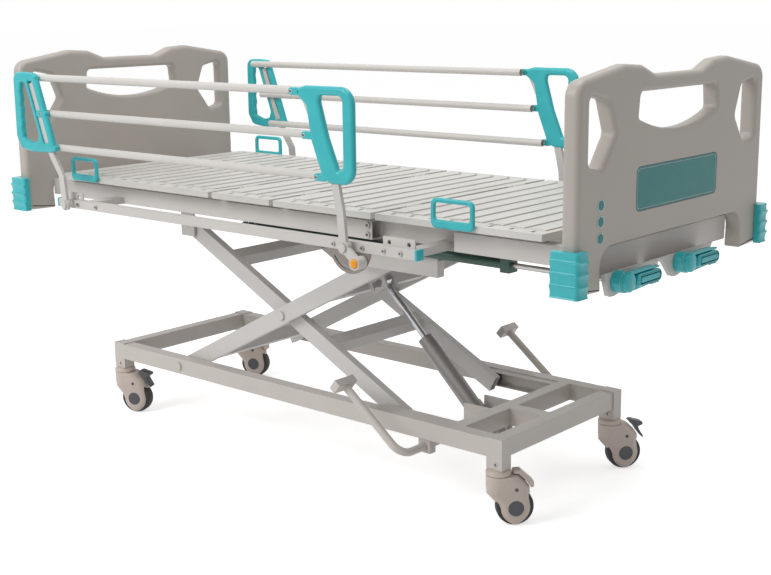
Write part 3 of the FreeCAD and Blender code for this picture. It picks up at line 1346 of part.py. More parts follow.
def make_guard(tag, side):
    inner_y = rail_y + d.guard_rail_radius + 0.6
    outer_y = inner_y + d.handle_thick - 2.6
    post_low = inner_y + 3
    post_high = post_low + d.guard_post_thick - 2
    rails = [(getattr(d, lean), getattr(d, rise)) for _, lean, rise in RAILS]
    for end, head, points, handle, opening in (
            ("foot", False, FOOT_POST, FOOT_HANDLE, FOOT_OPENING),
            ("head", True, HEAD_POST, HEAD_HANDLE, HEAD_OPENING)):
        name = "%s_%s" % (tag, end)
        pivot = guard_point(0, 0, head)
        bar = make_post(name + "_post", side, head, points, post_low, post_high)
        eye = rod(name + "_eye", "y", both_sides(side, post_low, post_high), pivot, as_size(18))
        pin_bores = []
        lugs = []
        for number, (lean, rise) in enumerate(rails):
            spot = guard_point(lean, rise, head)
            lugs.append(rod("%s_lug_%d" % (name, number), "y",
                            both_sides(side, inner_y, outer_y), spot, as_size(13)))
            lugs.append(block("%s_lug_web_%d" % (name, number), (spot[0], spot[0] + 34),
                              both_sides(side, inner_y, outer_y), (spot[1] - 13, spot[1] + 13)))
            pin_bores.append(rod("%s_pin_bore_%d" % (name, number), "y",
                                 both_sides(side, inner_y - 1, post_high + 1), spot,
                                 d.guard_pin_radius + d.running_gap))
        post_pieces = [bar, eye]
        pivot_bore = rod(name + "_pivot_bore", "y", both_sides(side, post_low - 1, post_high + 1),
                         pivot, as_size(6) + d.running_gap)
        cuts = [pivot_bore]
        cuts += [rod("%s_post_bore_%d" % (name, number), "y",
                     both_sides(side, post_low - 1, post_high + 1),
                     guard_point(lean, rise, head), d.guard_pin_radius + d.running_gap)
                 for number, (lean, rise) in enumerate(rails)]
        if not head:
            lock = (d.guard_pivot_x + d.lock_reach * 0.79, d.guard_pivot_z - d.lock_reach * 0.613)
            arm = new_body(name + "_lock_arm")
            height, thick = y_span(side, post_low, post_high)
            view = new_sketch(arm, name + "_lock_view", "XZ_Plane", height)
            px, pz = d.guard_pivot_x, d.guard_pivot_z
            outline(view, [(px + 7.4, pz + 9.5), (lock[0] + 7.4, lock[1] + 9.5),
                           (lock[0] - 7.4, lock[1] - 9.5), (px - 7.4, pz - 9.5)])
            pad(arm, view, thick, name + "_lock_pad", True)
            boss = rod(name + "_lock_boss", "y",
                       both_sides(side, d.guard_tube_face_y + 3, outer_y + 3), lock,
                       d.lock_radius)
            post_pieces += [arm, boss]
            cuts.append(rod(name + "_lock_bore", "y",
                            both_sides(side, outer_y - 8, outer_y + 4), lock,
                            d.button_radius + d.running_gap))
            cuts.append(rod(name + "_stem_bore", "y",
                            both_sides(side, d.guard_tube_face_y + 2, outer_y - 7), lock,
                            as_size(4) + d.running_gap))
            button = rod(name + "_button_cap", "y", both_sides(side, outer_y - 4 + 0.3, outer_y + 8),
                         lock, d.button_radius)
            stem = rod(name + "_button_stem", "y",
                       both_sides(side, d.guard_tube_face_y - 6, outer_y - 3), lock, as_size(4))
            keep(tag + "_release_button", fuse(tag + "_button_body", button, stem))
        post = cut(name + "_post_body", fuse(name + "_post_blank", *post_pieces), *cuts)
        keep(name + "_post", post)
        moulding = new_body(name + "_moulding")
        height, thick = y_span(side, inner_y, outer_y)
        view = new_sketch(moulding, name + "_handle_view", "XZ_Plane", height)
        guard_outline(view, handle, head)
        pad(moulding, view, thick, name + "_handle_pad", True)
        opening_view = new_sketch(moulding, name + "_opening_view", "XZ_Plane", height)
        guard_outline(opening_view, opening, head)
        pocket(moulding, opening_view, thick, name + "_opening_cut")
        handle_body = fuse(name + "_handle_blank", moulding, *lugs)
        keep(name + "_handle", cut(name + "_handle_body", handle_body, bar, *pin_bores))
    for (rail, _, _), (lean, rise) in zip(RAILS, rails):
        foot, head_spot = guard_point(lean, rise), guard_point(lean, rise, True)
        name = "%s_%s_rail" % (tag, rail)
        y = side * rail_y
        tube = round_tube(name + "_tube", "x", (head_spot[0] - 14, foot[0] + 14),
                          (y, foot[1]), d.guard_rail_radius, d.guard_rail_wall)
        pins = [rod("%s_pin_%d" % (name, number), "y", both_sides(side, rail_y - 9, post_high - 1),
                    spot, d.guard_pin_radius)
                for number, spot in enumerate((head_spot, foot))]
        keep(name, fuse(name + "_body", tube, *pins))


def make_guard_base():
    tubes, caps, plates = [], [], []
    half = d.guard_tube_size / 2
    z = (d.guard_pivot_z - half, d.guard_pivot_z + half)
    for side in (-1, 1):
        y = both_sides(side, d.guard_tube_face_y - d.guard_tube_size, d.guard_tube_face_y)
        tag = side + 1
        tubes.append(box_tube("guard_tube_%d" % tag, "x",
                              (d.guard_tube_head_x, d.guard_tube_foot_x), y, z, d.tube_wall))
        for end, x in (("head", d.guard_tube_head_x - 6), ("foot", d.guard_tube_foot_x)):
            caps.append(block("guard_cap_%s_%d" % (end, tag), (x, x + 6),
                              (y[0] - 1, y[1] + 1), (z[0] - 1, z[1] + 1)))
        for end, x in (("head", d.guard_pivot_x - d.guard_pitch), ("foot", d.guard_pivot_x)):
            bolt = [rod("guard_spacer_%s_%d" % (end, tag), "y",
                        both_sides(side, d.guard_tube_face_y, post_face_y + 1.2),
                        (x, d.guard_pivot_z), as_size(11)),
                    rod("guard_pivot_%s_%d" % (end, tag), "y",
                        both_sides(side, d.guard_tube_face_y, post_face_y + 14),
                        (x, d.guard_pivot_z), as_size(6)),
                    rod("guard_bolt_head_%s_%d" % (end, tag), "y",
                        both_sides(side, post_face_y + 12, post_face_y + 17),
                        (x, d.guard_pivot_z), as_size(12))]
            tubes.append(fuse("guard_pivot_bolt_%s_%d" % (end, tag), *bolt))
        tag_y = both_sides(side, d.guard_tube_face_y - half - 2, d.guard_tube_face_y - half + 2)
        for end, x in (("head", d.guard_tube_head_x + 8), ("foot", d.guard_tube_foot_x - 112)):
            plate = block("socket_plate_%s_%d" % (end, tag), (x, x + 104), tag_y,
                          (z[1], d.guard_pivot_z + 36))
            holes = [rod("socket_hole_%s_%d_%d" % (end, tag, number), "y",
                         (tag_y[0] - 1, tag_y[1] + 1), (x + along, d.guard_pivot_z + 22),
                         as_size(6)) for number, along in enumerate((20, 84))]
            tubes.append(cut("socket_%s_%d" % (end, tag), plate, *holes))
        x = d.guard_pivot_x
        low_y, high_y = both_sides(side, d.guard_tube_face_y - 5, d.guard_tube_face_y)
        disc = rod("quadrant_disc_%d" % tag, "y", (low_y, high_y), (x, d.guard_pivot_z),
                   d.quadrant_radius)
        upper = block("quadrant_upper_%d" % tag, (x - 90, x + 90), (low_y - 1, high_y + 1),
                      (z[0], d.guard_pivot_z + 90))
        track = cut("quadrant_track_%d" % tag,
                    rod("quadrant_track_outer_%d" % tag, "y", (low_y - 1, high_y + 1),
                        (x, d.guard_pivot_z), d.lock_reach + 5),
                    rod("quadrant_track_inner_%d" % tag, "y", (low_y - 2, high_y + 2),
                        (x, d.guard_pivot_z), d.lock_reach - 5))
        plates.append(cut("quadrant_%d" % tag, disc, upper,
                          cut("quadrant_slot_%d" % tag, track,
                              block("quadrant_slot_top_%d" % tag, (x - 90, x + 90),
                                    (low_y - 2, high_y + 2),
                                    (d.guard_pivot_z - 30, d.guard_pivot_z + 90)))))
    keep("guard_base_tubes", *tubes)
    keep("guard_end_caps", *caps)
    keep("lock_quadrants", *plates)


def make_frame_bolts():
    bolts = []
    for side in (-1, 1):
        for number, x in enumerate((349, 449, 520, 575, -650, -740)):
            bolts.append(rod("rail_bolt_%d_%d" % (side + 1, number), "y",
                             both_sides(side, d.guard_tube_face_y, d.guard_tube_face_y + 4),
                             (x, d.guard_pivot_z), as_size(6)))
        for number, z in enumerate((12, 38)):
            bolts.append(rod("splice_bolt_%d_%d" % (side + 1, number), "y",
                             both_sides(side, d.bed_half_width, d.bed_half_width + 5),
                             (d.splice_head_x - 14, d.bed_tube_z + z), as_size(8)))
    keep("frame_bolts", *bolts)


make_base_frame()
for end in ("head", "foot"):
    for side_name, side in (("near", -1), ("far", 1)):
        heading = getattr(d, "%s_%s_heading" % (side_name, end))
        make_castor("%s_%s_castor" % (side_name, end), post_middle_x[end], side * post_middle_y,
                    heading)
make_outer_arms()
make_inner_arms()
make_rollers("upper_lift_rollers", arm_face_y + 2,
             d.arm_pivot_x + d.arm_pitch * cosine(d.lift_angle), bed_pivot_z)
make_rollers("lower_lift_rollers", inner_arm_face_y + 6,
             d.arm_pivot_x + d.arm_pitch * cosine(d.lift_angle), arm_pivot_z)
make_cylinder()
make_pedals()
make_bed_frame()
make_board("footboard", d.bed_foot_x, 1, True)
make_board("headboard", d.bed_head_x, -1, False)
make_inlays()
make_bumpers()
make_deck()
make_crank("back", d.near_crank_y, back_pin_x, d.near_drive_foot_x)
make_crank("knee", d.middle_crank_y, knee_pin_x, d.middle_drive_foot_x)
make_guard_base()
make_frame_bolts()
make_guard("near", -1)
make_guard("far", 1)

doc.recompute()
for thing in doc.Objects:
    if "Invalid" in thing.State or "Error" in thing.State:
        raise SystemExit("%s failed: %s" % (thing.Name, thing.State))
for name, part in nodes:
    shape = part.Shape
    if shape.isNull() or not shape.isValid() or not shape.Solids:
        raise SystemExit("%s has no valid shape" % name)

os.makedirs("parts", exist_ok=True)
for name, part in nodes:
    part.Shape.exportStep("parts/%s.step" % name)
print("%d sub-parts, %d solids" % (len(nodes), sum(len(part.Shape.Solids) for _, part in nodes)))
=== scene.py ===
"""Hospital bed: moulded boards, guard handles, buffers, castors, cranks and every finish.

Shapes are worked out in millimetres in the row frame and reach each mesh in metres.
"""

import math

import bmesh
import bpy
import numpy as np
from mathutils import Matrix
from mathutils.geometry import tessellate_polygon


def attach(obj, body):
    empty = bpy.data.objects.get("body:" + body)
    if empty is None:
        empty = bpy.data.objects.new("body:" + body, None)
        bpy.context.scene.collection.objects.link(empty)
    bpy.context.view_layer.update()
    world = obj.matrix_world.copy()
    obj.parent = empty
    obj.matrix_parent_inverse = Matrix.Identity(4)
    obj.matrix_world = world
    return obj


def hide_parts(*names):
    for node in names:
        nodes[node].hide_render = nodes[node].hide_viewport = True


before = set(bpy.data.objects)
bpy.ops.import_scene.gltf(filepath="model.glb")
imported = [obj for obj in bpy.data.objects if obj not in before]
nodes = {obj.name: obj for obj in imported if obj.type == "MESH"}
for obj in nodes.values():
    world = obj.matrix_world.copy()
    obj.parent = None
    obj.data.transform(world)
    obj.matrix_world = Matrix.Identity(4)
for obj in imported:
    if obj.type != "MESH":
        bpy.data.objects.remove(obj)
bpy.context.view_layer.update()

MM = 0.001


# camera: the photograph's own view of the bed from the foot end, near side
CAMERA_PLACE = (2.61406, -2.86639, 1.34054)
CAMERA_ANGLES = (41.206, 12.414, -0.692)
FOCAL_LENGTH = 60.74


def make_camera():
    """A camera turned by its heading, its fall below the horizon and its sideways lean."""
    heading, fall, lean = (math.radians(angle) for angle in CAMERA_ANGLES)
    ahead = np.array([-math.sin(heading) * math.cos(fall), math.cos(heading) * math.cos(fall),
                      -math.sin(fall)])
    right = np.array([math.cos(heading), math.sin(heading), 0.0])
    above = np.cross(right, ahead)
    tilted_right = math.cos(lean) * right + math.sin(lean) * above
    tilted_above = math.cos(lean) * above - math.sin(lean) * right
    lens = bpy.data.cameras.new("camera")
    lens.lens = FOCAL_LENGTH
    lens.sensor_width = 36
    lens.sensor_fit = "HORIZONTAL"
    lens.dof.use_dof = False
    camera = bpy.data.objects.new("camera", lens)
    turn = Matrix(np.column_stack([tilted_right, tilted_above, -ahead]).tolist())
    camera.matrix_world = Matrix.Translation(CAMERA_PLACE) @ turn.to_4x4()
    bpy.context.scene.collection.objects.link(camera)
    bpy.context.scene.camera = camera


# materials
def linear(code):
    """An sRGB hex colour as linear red, green, blue and alpha."""
    parts = [int(code[place:place + 2], 16) / 255 for place in (0, 2, 4)]
    return [part / 12.92 if part <= 0.04045 else ((part + 0.055) / 1.055) ** 2.4
            for part in parts] + [1.0]


def shade(code, factor):
    """The linear colour of an sRGB hex code, made lighter or darker by a factor."""
    return [min(1.0, part * factor) for part in linear(code)[:3]] + [1.0]


def add(tree, kind, socket_shades=None, **settings):
    """A node with its settings; each socket takes a constant or another node's output."""
    node = tree.nodes.new("ShaderNode" + kind)
    for name, value in settings.items():
        setattr(node, name, value)
    for name, value in (socket_shades or {}).items():
        if isinstance(value, bpy.types.NodeSocket):
            tree.links.new(value, node.inputs[name])
        else:
            node.inputs[name].default_value = value
    return node


def begin(name):
    """A new material with its tree, its shader and the object coordinates in metres."""
    material = bpy.data.materials.new(name)
    material.use_nodes = True
    tree = material.node_tree
    where = add(tree, "TexCoord").outputs["Object"]
    return material, tree, tree.nodes["Principled BSDF"], where


def connect(tree, shader, colour, normal, roughness):
    """Links the outputs of three nodes to the shader."""
    tree.links.new(colour.outputs[2], shader.inputs["Base Color"])
    tree.links.new(normal.outputs["Normal"], shader.inputs["Normal"])
    tree.links.new(roughness.outputs["Result"], shader.inputs["Roughness"])


def powder_coated_steel(name, code, edge=1.5):
    """Mild steel tube and sheet with a baked powder coat.

    The eye gets a satin skin with a fine orange peel and faint clouds in its tone; its edges,
    which the powder has rounded, carry a painted highlight that makes them a little paler.
    """
    material, tree, shader, where = begin(name)
    shader.inputs["IOR"].default_value = 1.5
    cloud = add(tree, "TexNoise", {"Vector": where, "Scale": 9.0, "Detail": 4.0})
    tone = add(tree, "Mix", {"Factor": cloud.outputs["Fac"], 6: shade(code, 0.93),
                             7: shade(code, 1.06)}, data_type="RGBA")
    rim = add(tree, "Bevel", {"Radius": edge * MM}, samples=4)
    flat = add(tree, "NewGeometry")
    match = add(tree, "VectorMath", {0: rim.outputs["Normal"], 1: flat.outputs["Normal"]},
                operation="DOT_PRODUCT")
    # painted highlight: where the bevel normal turns from the face normal, the colour is mixed
    # towards a paler shade
    edge_highlight = add(tree, "MapRange", {"Value": match.outputs["Value"], "From Min": 0.995,
                                  "From Max": 0.85, "To Min": 0.0, "To Max": 0.5})
    skin = add(tree, "Mix", {"Factor": edge_highlight.outputs["Result"], 6: tone.outputs[2],
                             7: shade(code, 1.22)}, data_type="RGBA")
    # orange peel is about 1 mm across; it is drawn 3 mm coarse so that it shows
    peel = add(tree, "TexNoise", {"Vector": where, "Scale": 1 / (3 * MM), "Detail": 2.0})
    bump = add(tree, "Bump", {"Height": peel.outputs["Fac"], "Normal": rim.outputs["Normal"],
                              "Strength": 0.14, "Distance": 0.3 * MM})
    gloss = add(tree, "MapRange", {"Value": cloud.outputs["Fac"], "To Min": 0.34,
                                   "To Max": 0.5})
    connect(tree, shader, skin, bump, gloss)
    return material


def grained_board_plastic(name, code):
    """Blow-moulded polyethylene with a spark-eroded grain.

    The eye gets a soft matt warm grey, with a fine pebble grain and slow flow marks.
    """
    material, tree, shader, where = begin(name)
    shader.inputs["IOR"].default_value = 1.5
    flow = add(tree, "TexNoise", {"Vector": where, "Scale": 5.0, "Detail": 3.0,
                                  "Distortion": 0.6})
    tone = add(tree, "Mix", {"Factor": flow.outputs["Fac"], 6: shade(code, 0.94),
                             7: shade(code, 1.05)}, data_type="RGBA")
    # the tool's grain is about 0.5 mm; it is drawn 2 mm coarse so that it shows
    grain = add(tree, "TexVoronoi", {"Vector": where, "Scale": 1 / (2 * MM)})
    bump = add(tree, "Bump", {"Height": grain.outputs["Distance"], "Strength": 0.16,
                              "Distance": 0.3 * MM})
    gloss = add(tree, "MapRange", {"Value": flow.outputs["Fac"], "To Min": 0.36,
                                   "To Max": 0.48})
    connect(tree, shader, tone, bump, gloss)
    return material


def glossy_moulded_abs(name, code, gloss_low=0.2, gloss_high=0.27):
    """Injection-moulded ABS from a polished tool.

    The eye gets a deep even colour under a wet gloss, with slow sink waves and hairline
    handling scratches.
    """
    material, tree, shader, where = begin(name)
    shader.inputs["IOR"].default_value = 1.54
    shader.inputs["Specular IOR Level"].default_value = 0.3
    wave = add(tree, "TexNoise", {"Vector": where, "Scale": 1 / (45 * MM), "Detail": 1.0})
    tone = add(tree, "Mix", {"Factor": wave.outputs["Fac"], 6: shade(code, 0.9),
                             7: shade(code, 1.1)}, data_type="RGBA")
    # handling scratches are hairs 0.2 mm wide; they are drawn 1 mm wide so that they show
    stretch = add(tree, "Mapping", {"Vector": where, "Rotation": (0.6, 0.9, 0.4),
                                    "Scale": (25.0, 700.0, 500.0)})
    hairs = add(tree, "TexNoise", {"Vector": stretch.outputs["Vector"], "Scale": 1.0,
                                   "Detail": 2.0})
    bump = add(tree, "Bump", {"Height": wave.outputs["Fac"], "Strength": 0.1,
                              "Distance": 1.5 * MM})
    gloss = add(tree, "MapRange", {"Value": hairs.outputs["Fac"], "From Min": 0.3,
                                   "From Max": 0.7, "To Min": gloss_low,
                                   "To Max": gloss_high})
    connect(tree, shader, tone, bump, gloss)
    return material


def filled_nylon(name, code):
    """Injection-moulded glass-filled nylon, as castor housings are.

    The eye gets a satin skin, slightly mottled where the glass fibres come near it.
    """
    material, tree, shader, where = begin(name)
    shader.inputs["IOR"].default_value = 1.53
    # fibre bundles are a few millimetres long
    fibres = add(tree, "TexNoise", {"Vector": where, "Scale": 1 / (5 * MM), "Detail": 5.0})
    tone = add(tree, "Mix", {"Factor": fibres.outputs["Fac"], 6: shade(code, 0.9),
                             7: shade(code, 1.08)}, data_type="RGBA")
    rim = add(tree, "Bevel", {"Radius": 1.2 * MM}, samples=4)
    bump = add(tree, "Bump", {"Height": fibres.outputs["Fac"], "Strength": 0.12,
                              "Normal": rim.outputs["Normal"], "Distance": 0.4 * MM})
    gloss = add(tree, "MapRange", {"Value": fibres.outputs["Fac"], "To Min": 0.32,
                                   "To Max": 0.5})
    connect(tree, shader, tone, bump, gloss)
    return material


def cast_tyre_rubber(name, code):
    """Thermoplastic rubber cast onto the wheel.

    The eye gets a dark matt grey with a dusty bloom and short scuffs.
    """
    material, tree, shader, where = begin(name)
    shader.inputs["IOR"].default_value = 1.52
    scuff = add(tree, "TexNoise", {"Vector": where, "Scale": 1 / (6 * MM), "Detail": 6.0,
                                   "Distortion": 1.5})
    dust = add(tree, "MapRange", {"Value": scuff.outputs["Fac"], "From Min": 0.45,
                                  "From Max": 0.75})
    tone = add(tree, "Mix", {"Factor": dust.outputs["Result"], 6: linear(code),
                             7: shade(code, 2.2)}, data_type="RGBA")
    bump = add(tree, "Bump", {"Height": scuff.outputs["Fac"], "Strength": 0.3,
                              "Distance": 0.4 * MM})
    gloss = add(tree, "MapRange", {"Value": scuff.outputs["Fac"], "To Min": 0.55,
                                   "To Max": 0.85})
    connect(tree, shader, tone, bump, gloss)
    return material


def zinc_plated_steel(name, code):
    """Turned and pressed steel, barrel plated with zinc.

    The eye gets a cool grey metal, clouded by the plating bath.
    """
    material, tree, shader, where = begin(name)
    shader.inputs["Metallic"].default_value = 1.0
    cloud = add(tree, "TexNoise", {"Vector": where, "Scale": 1 / (4 * MM), "Detail": 4.0})
    tone = add(tree, "Mix", {"Factor": cloud.outputs["Fac"], 6: shade(code, 0.75),
                             7: shade(code, 1.15)}, data_type="RGBA")
    rim = add(tree, "Bevel", {"Radius": 0.8 * MM}, samples=4)
    bump = add(tree, "Bump", {"Height": cloud.outputs["Fac"], "Strength": 0.1,
                              "Normal": rim.outputs["Normal"], "Distance": 0.3 * MM})
    gloss = add(tree, "MapRange", {"Value": cloud.outputs["Fac"], "To Min": 0.28,
                                   "To Max": 0.5})
    connect(tree, shader, tone, bump, gloss)
    return material


ROD_LEAN = math.radians(50.7)


def hard_chromed_steel(name, code):
    """Ground steel rod with hard chrome, the lift cylinder's piston rod.

    The eye gets a bright mirror along the rod, broken by the fine rings of the grinding.
    """
    material, tree, shader, where = begin(name)
    shader.inputs["Metallic"].default_value = 1.0
    # the rings are 0.2 mm apart; they are drawn 3 mm apart so that they show
    along = add(tree, "Mapping", {"Vector": where, "Rotation": (0.0, ROD_LEAN, 0.0),
                                  "Scale": (1.0, 1.0, 1 / (3 * MM))})
    rings = add(tree, "TexNoise", {"Vector": along.outputs["Vector"], "Scale": 1.0,
                                   "Detail": 3.0})
    tone = add(tree, "Mix", {"Factor": rings.outputs["Fac"], 6: shade(code, 0.85),
                             7: shade(code, 1.1)}, data_type="RGBA")
    gloss = add(tree, "MapRange", {"Value": rings.outputs["Fac"], "To Min": 0.1,
                                   "To Max": 0.3})
    bump = add(tree, "Bump", {"Height": rings.outputs["Fac"], "Strength": 0.08,
                              "Distance": 0.2 * MM})
    connect(tree, shader, tone, bump, gloss)
    return material


def metallic_enamel(name, code):
    """Steel tube sprayed with a silver-flake enamel.

    The eye gets a grey that glints in tiny flakes and darkens as it turns away.
    """
    material, tree, shader, where = begin(name)
    shader.inputs["Metallic"].default_value = 0.35
    shader.inputs["Coat Weight"].default_value = 0.3
    shader.inputs["Coat Roughness"].default_value = 0.15
    # flakes are 0.1 mm; they are drawn 1.5 mm coarse so that they show
    flake = add(tree, "TexVoronoi", {"Vector": where, "Scale": 1 / (1.5 * MM)})
    tone = add(tree, "Mix", {"Factor": flake.outputs["Distance"], 6: shade(code, 1.15),
                             7: shade(code, 0.85)}, data_type="RGBA")
    rim = add(tree, "Bevel", {"Radius": 1.5 * MM}, samples=4)
    cloud = add(tree, "TexNoise", {"Vector": where, "Scale": 12.0, "Detail": 3.0})
    bump = add(tree, "Bump", {"Height": cloud.outputs["Fac"], "Strength": 0.08,
                              "Normal": rim.outputs["Normal"], "Distance": 0.5 * MM})
    gloss = add(tree, "MapRange", {"Value": cloud.outputs["Fac"], "To Min": 0.3,
                                   "To Max": 0.45})
    connect(tree, shader, tone, bump, gloss)
    return material


FRAME_COAT = powder_coated_steel("powder_coated_tube", "CBC7C3")
BASE_COAT = powder_coated_steel("powder_coated_base", "C9C2BC")
ARM_COAT = powder_coated_steel("powder_coated_arms", "CECBC8")
DECK_COAT = powder_coated_steel("powder_coated_pressed_sheet", "D2D0CB", edge=1.0)
RAIL_COAT = powder_coated_steel("powder_coated_guard_rail", "D0CDC8", edge=0.6)
QUADRANT_COAT = powder_coated_steel("powder_coated_quadrant", "8A8078", edge=0.6)
GREEN_COAT = powder_coated_steel("powder_coated_drive_tube", "1E4438")
BOARD_PLASTIC = grained_board_plastic("grained_board_polyethylene", "B5AEA6")
TEAL_ABS = glossy_moulded_abs("glossy_teal_abs", "3BB8BE")
BADGE_ABS = glossy_moulded_abs("badge_teal_abs", "1E7C7C", 0.3, 0.36)
BADGE_EDGE = glossy_moulded_abs("badge_edge_abs", "B9D0CE", 0.3, 0.36)
ORANGE_PLASTIC = glossy_moulded_abs("orange_button_abs", "EE9A08")
CASTOR_NYLON = filled_nylon("beige_castor_nylon", "CBBDB3")
# dark nylon of the rollers, hubs, pins and brakes; it also colours the painted shade of the hex
# sockets in bolt and screw heads
DARK_NYLON_AND_SOCKET_SHADE = filled_nylon("dark_castor_nylon_and_socket_shade", "4A4B50")
TYRE_RUBBER = cast_tyre_rubber("cast_tyre_rubber", "2A2A2A")
ZINC = zinc_plated_steel("zinc_plated_steel", "B4B2AE")
CHROME = hard_chromed_steel("hard_chromed_rod", "C6C6C8")
CYLINDER_ENAMEL = metallic_enamel("silver_flake_enamel", "8B8784")

FINISHES = {
    FRAME_COAT: ["bed_frame", "guard_base_tubes", "near_foot_post", "near_head_post",
                 "far_foot_post", "far_head_post"],
    BASE_COAT: ["base_frame", "pump_pedals"],
    ARM_COAT: ["outer_lift_arms", "inner_lift_arms"],
    DECK_COAT: ["back_section", "seat_section", "thigh_section", "leg_section"],
    RAIL_COAT: ["%s_%s_rail" % (side, row) for side in ("near", "far")
                for row in ("bottom", "middle", "top")],
    QUADRANT_COAT: ["lock_quadrants"],
    GREEN_COAT: ["back_drive_tube", "knee_drive_tube"],
    TEAL_ABS: ["guard_end_caps"],
    DARK_NYLON_AND_SOCKET_SHADE: ["upper_lift_rollers", "lower_lift_rollers"],
    ZINC: ["frame_bolts", "back_crank_screw", "knee_crank_screw"],
    CHROME: ["piston_rod"],
    CYLINDER_ENAMEL: ["cylinder_barrel"],
}


def finish_nodes():
    """Gives every carried-over node its finish."""
    for material, names in FINISHES.items():
        for name in names:
            mesh = nodes[name].data
            mesh.materials.clear()
            mesh.materials.append(material)


# surfaces
def fillet(corners, radii, step=10):
    """A closed outline with rounded corners.

    At each corner a circle of the given radius touches both edges, and the arc between
    the touching points is stepped every few degrees.
    """
    corners = np.asarray(corners, float)
    radii = np.broadcast_to(np.asarray(radii, float), len(corners))
    arcs = []
    for number, (corner, radius) in enumerate(zip(corners, radii)):
        back = corners[number - 1] - corner
        on = corners[(number + 1) % len(corners)] - corner
        long_back, long_on = np.hypot(*back), np.hypot(*on)
        back, on = back / long_back, on / long_on
        half = math.acos(np.clip(back @ on, -1, 1)) / 2
        if radius <= 0 or half > math.radians(89.5):
            arcs.append(corner[None])
            continue
        touch = min(radius / math.tan(half), 0.49 * min(long_back, long_on))
        radius = touch * math.tan(half)
        centre = corner + (back + on) / np.hypot(*(back + on)) * radius / math.sin(half)
        start, end = corner + back * touch - centre, corner + on * touch - centre
        first = math.atan2(start[1], start[0])
        sweep = math.atan2(start[0] * end[1] - start[1] * end[0], start @ end)
        count = max(2, math.ceil(abs(sweep) / math.radians(step)))
        angle = first + sweep * np.linspace(0, 1, count + 1)
        arcs.append(centre + radius * np.column_stack([np.cos(angle), np.sin(angle)]))
    return np.vstack(arcs)


def rectangle(left, right, bottom, top, radii):
    """The outline of a rounded rectangle."""
    return fillet([(left, bottom), (right, bottom), (right, top), (left, top)], radii)


def wound(loop, left=True):
    """The outline in the order that keeps its inside on the left, or on the right."""
    area = np.sum(loop[:, 0] * np.roll(loop[:, 1], -1) - np.roll(loop[:, 0], -1) * loop[:, 1])
    return loop if (area > 0) == left else loop[::-1]


def inset(loop, distance):
    """The outline moved to its left, each point along the bisector of its two edges."""
    before = loop - np.roll(loop, 1, axis=0)
    after = np.roll(loop, -1, axis=0) - loop
    normals = []
    for edge in (before, after):
        edge = edge / np.hypot(edge[:, 0], edge[:, 1])[:, None]
        normals.append(np.column_stack([-edge[:, 1], edge[:, 0]]))
    reach = 1 + np.sum(normals[0] * normals[1], axis=1, keepdims=True)
    return loop + distance * (normals[0] + normals[1]) / np.maximum(reach, 0.4)


def grid_quads(rows, columns, start=0):
    """The four-cornered faces of a grid whose columns close into a ring."""
    row, column = np.meshgrid(np.arange(rows - 1), np.arange(columns), indexing="ij")
    here = start + row * columns + column
    beside = start + row * columns + (column + 1) % columns
    return np.stack([here, beside, beside + columns, here + columns], axis=-1).reshape(-1, 4)


BOARD_AXES = ((0, 1, 0), (0, 0, 1), (1, 0, 0))
SIDE_AXES = ((1, 0, 0), (0, 0, 1), (0, -1, 0))


def rounded_plate(outer, holes, low, high, radius, axes, recess=None, steps=5):
    """A flat moulding with rounded edges round its outline and its holes.

    Two parameters run along the outline and round a half section: a quarter circle from
    the low face to the wall, the wall, and a quarter circle to the high face. Both faces
    are then filled between the innermost rows. The edge radius is one number, or one for
    each outline, and an outline may have one for each of its points. A recess is an
    outline, a depth and an edge radius; its wall goes down from the high face to a filled
    floor.
    """
    angle = np.linspace(0, math.pi / 2, steps + 1)
    loops = [wound(outer)] + [wound(hole, False) for hole in holes]
    radii = radius if isinstance(radius, list) else [radius] * len(loops)
    points, faces, low_rows, high_rows = [], [], [], []
    start = 0
    for loop, edge in zip(loops, radii):
        inward = [edge * (1 - math.sin(turn)) for turn in angle]
        rise = [edge * (1 - math.cos(turn)) for turn in angle]
        insets = [edge + 1.0] + inward + inward[::-1] + [edge + 1.0]
        heights = [low] + [low + drop for drop in rise] + [high - drop for drop in rise[::-1]]
        rows = [np.column_stack([inset(loop, shift), np.broadcast_to(height, (len(loop), 1))])
                for shift, height in zip(insets, heights + [high])]
        points.extend(rows)
        faces.extend(grid_quads(len(rows), len(loop), start).tolist())
        low_rows.append(np.arange(start, start + len(loop)))
        high_rows.append(start + (len(rows) - 1) * len(loop) + np.arange(len(loop)))
        start += len(rows) * len(loop)
    fills = [low_rows, high_rows]
    if recess is not None:
        shape, depth, edge = recess
        shape = wound(shape, False)
        shifts = [edge + 1.0, edge, edge * 0.3, 0.0, 0.0]
        drops = [0.0, 0.0, edge * 0.3, edge, depth]
        rows = [np.column_stack([inset(shape, shift), np.full(len(shape), high - drop)])
                for shift, drop in zip(shifts, drops)]
        points.extend(rows)
        faces.extend(grid_quads(len(rows), len(shape), start).tolist())
        rim_row = start + np.arange(len(shape))
        high_rows.append(rim_row)
        fills.append([rim_row + (len(rows) - 1) * len(shape)])
    points = np.vstack(points)
    for rings in fills:
        order = np.concatenate(rings)
        flat = [[(x, y, 0.0) for x, y in points[ring, :2]] for ring in rings]
        faces.extend([int(order[corner]) for corner in face]
                     for face in tessellate_polygon(flat))
    return points @ np.array(axes, float), faces


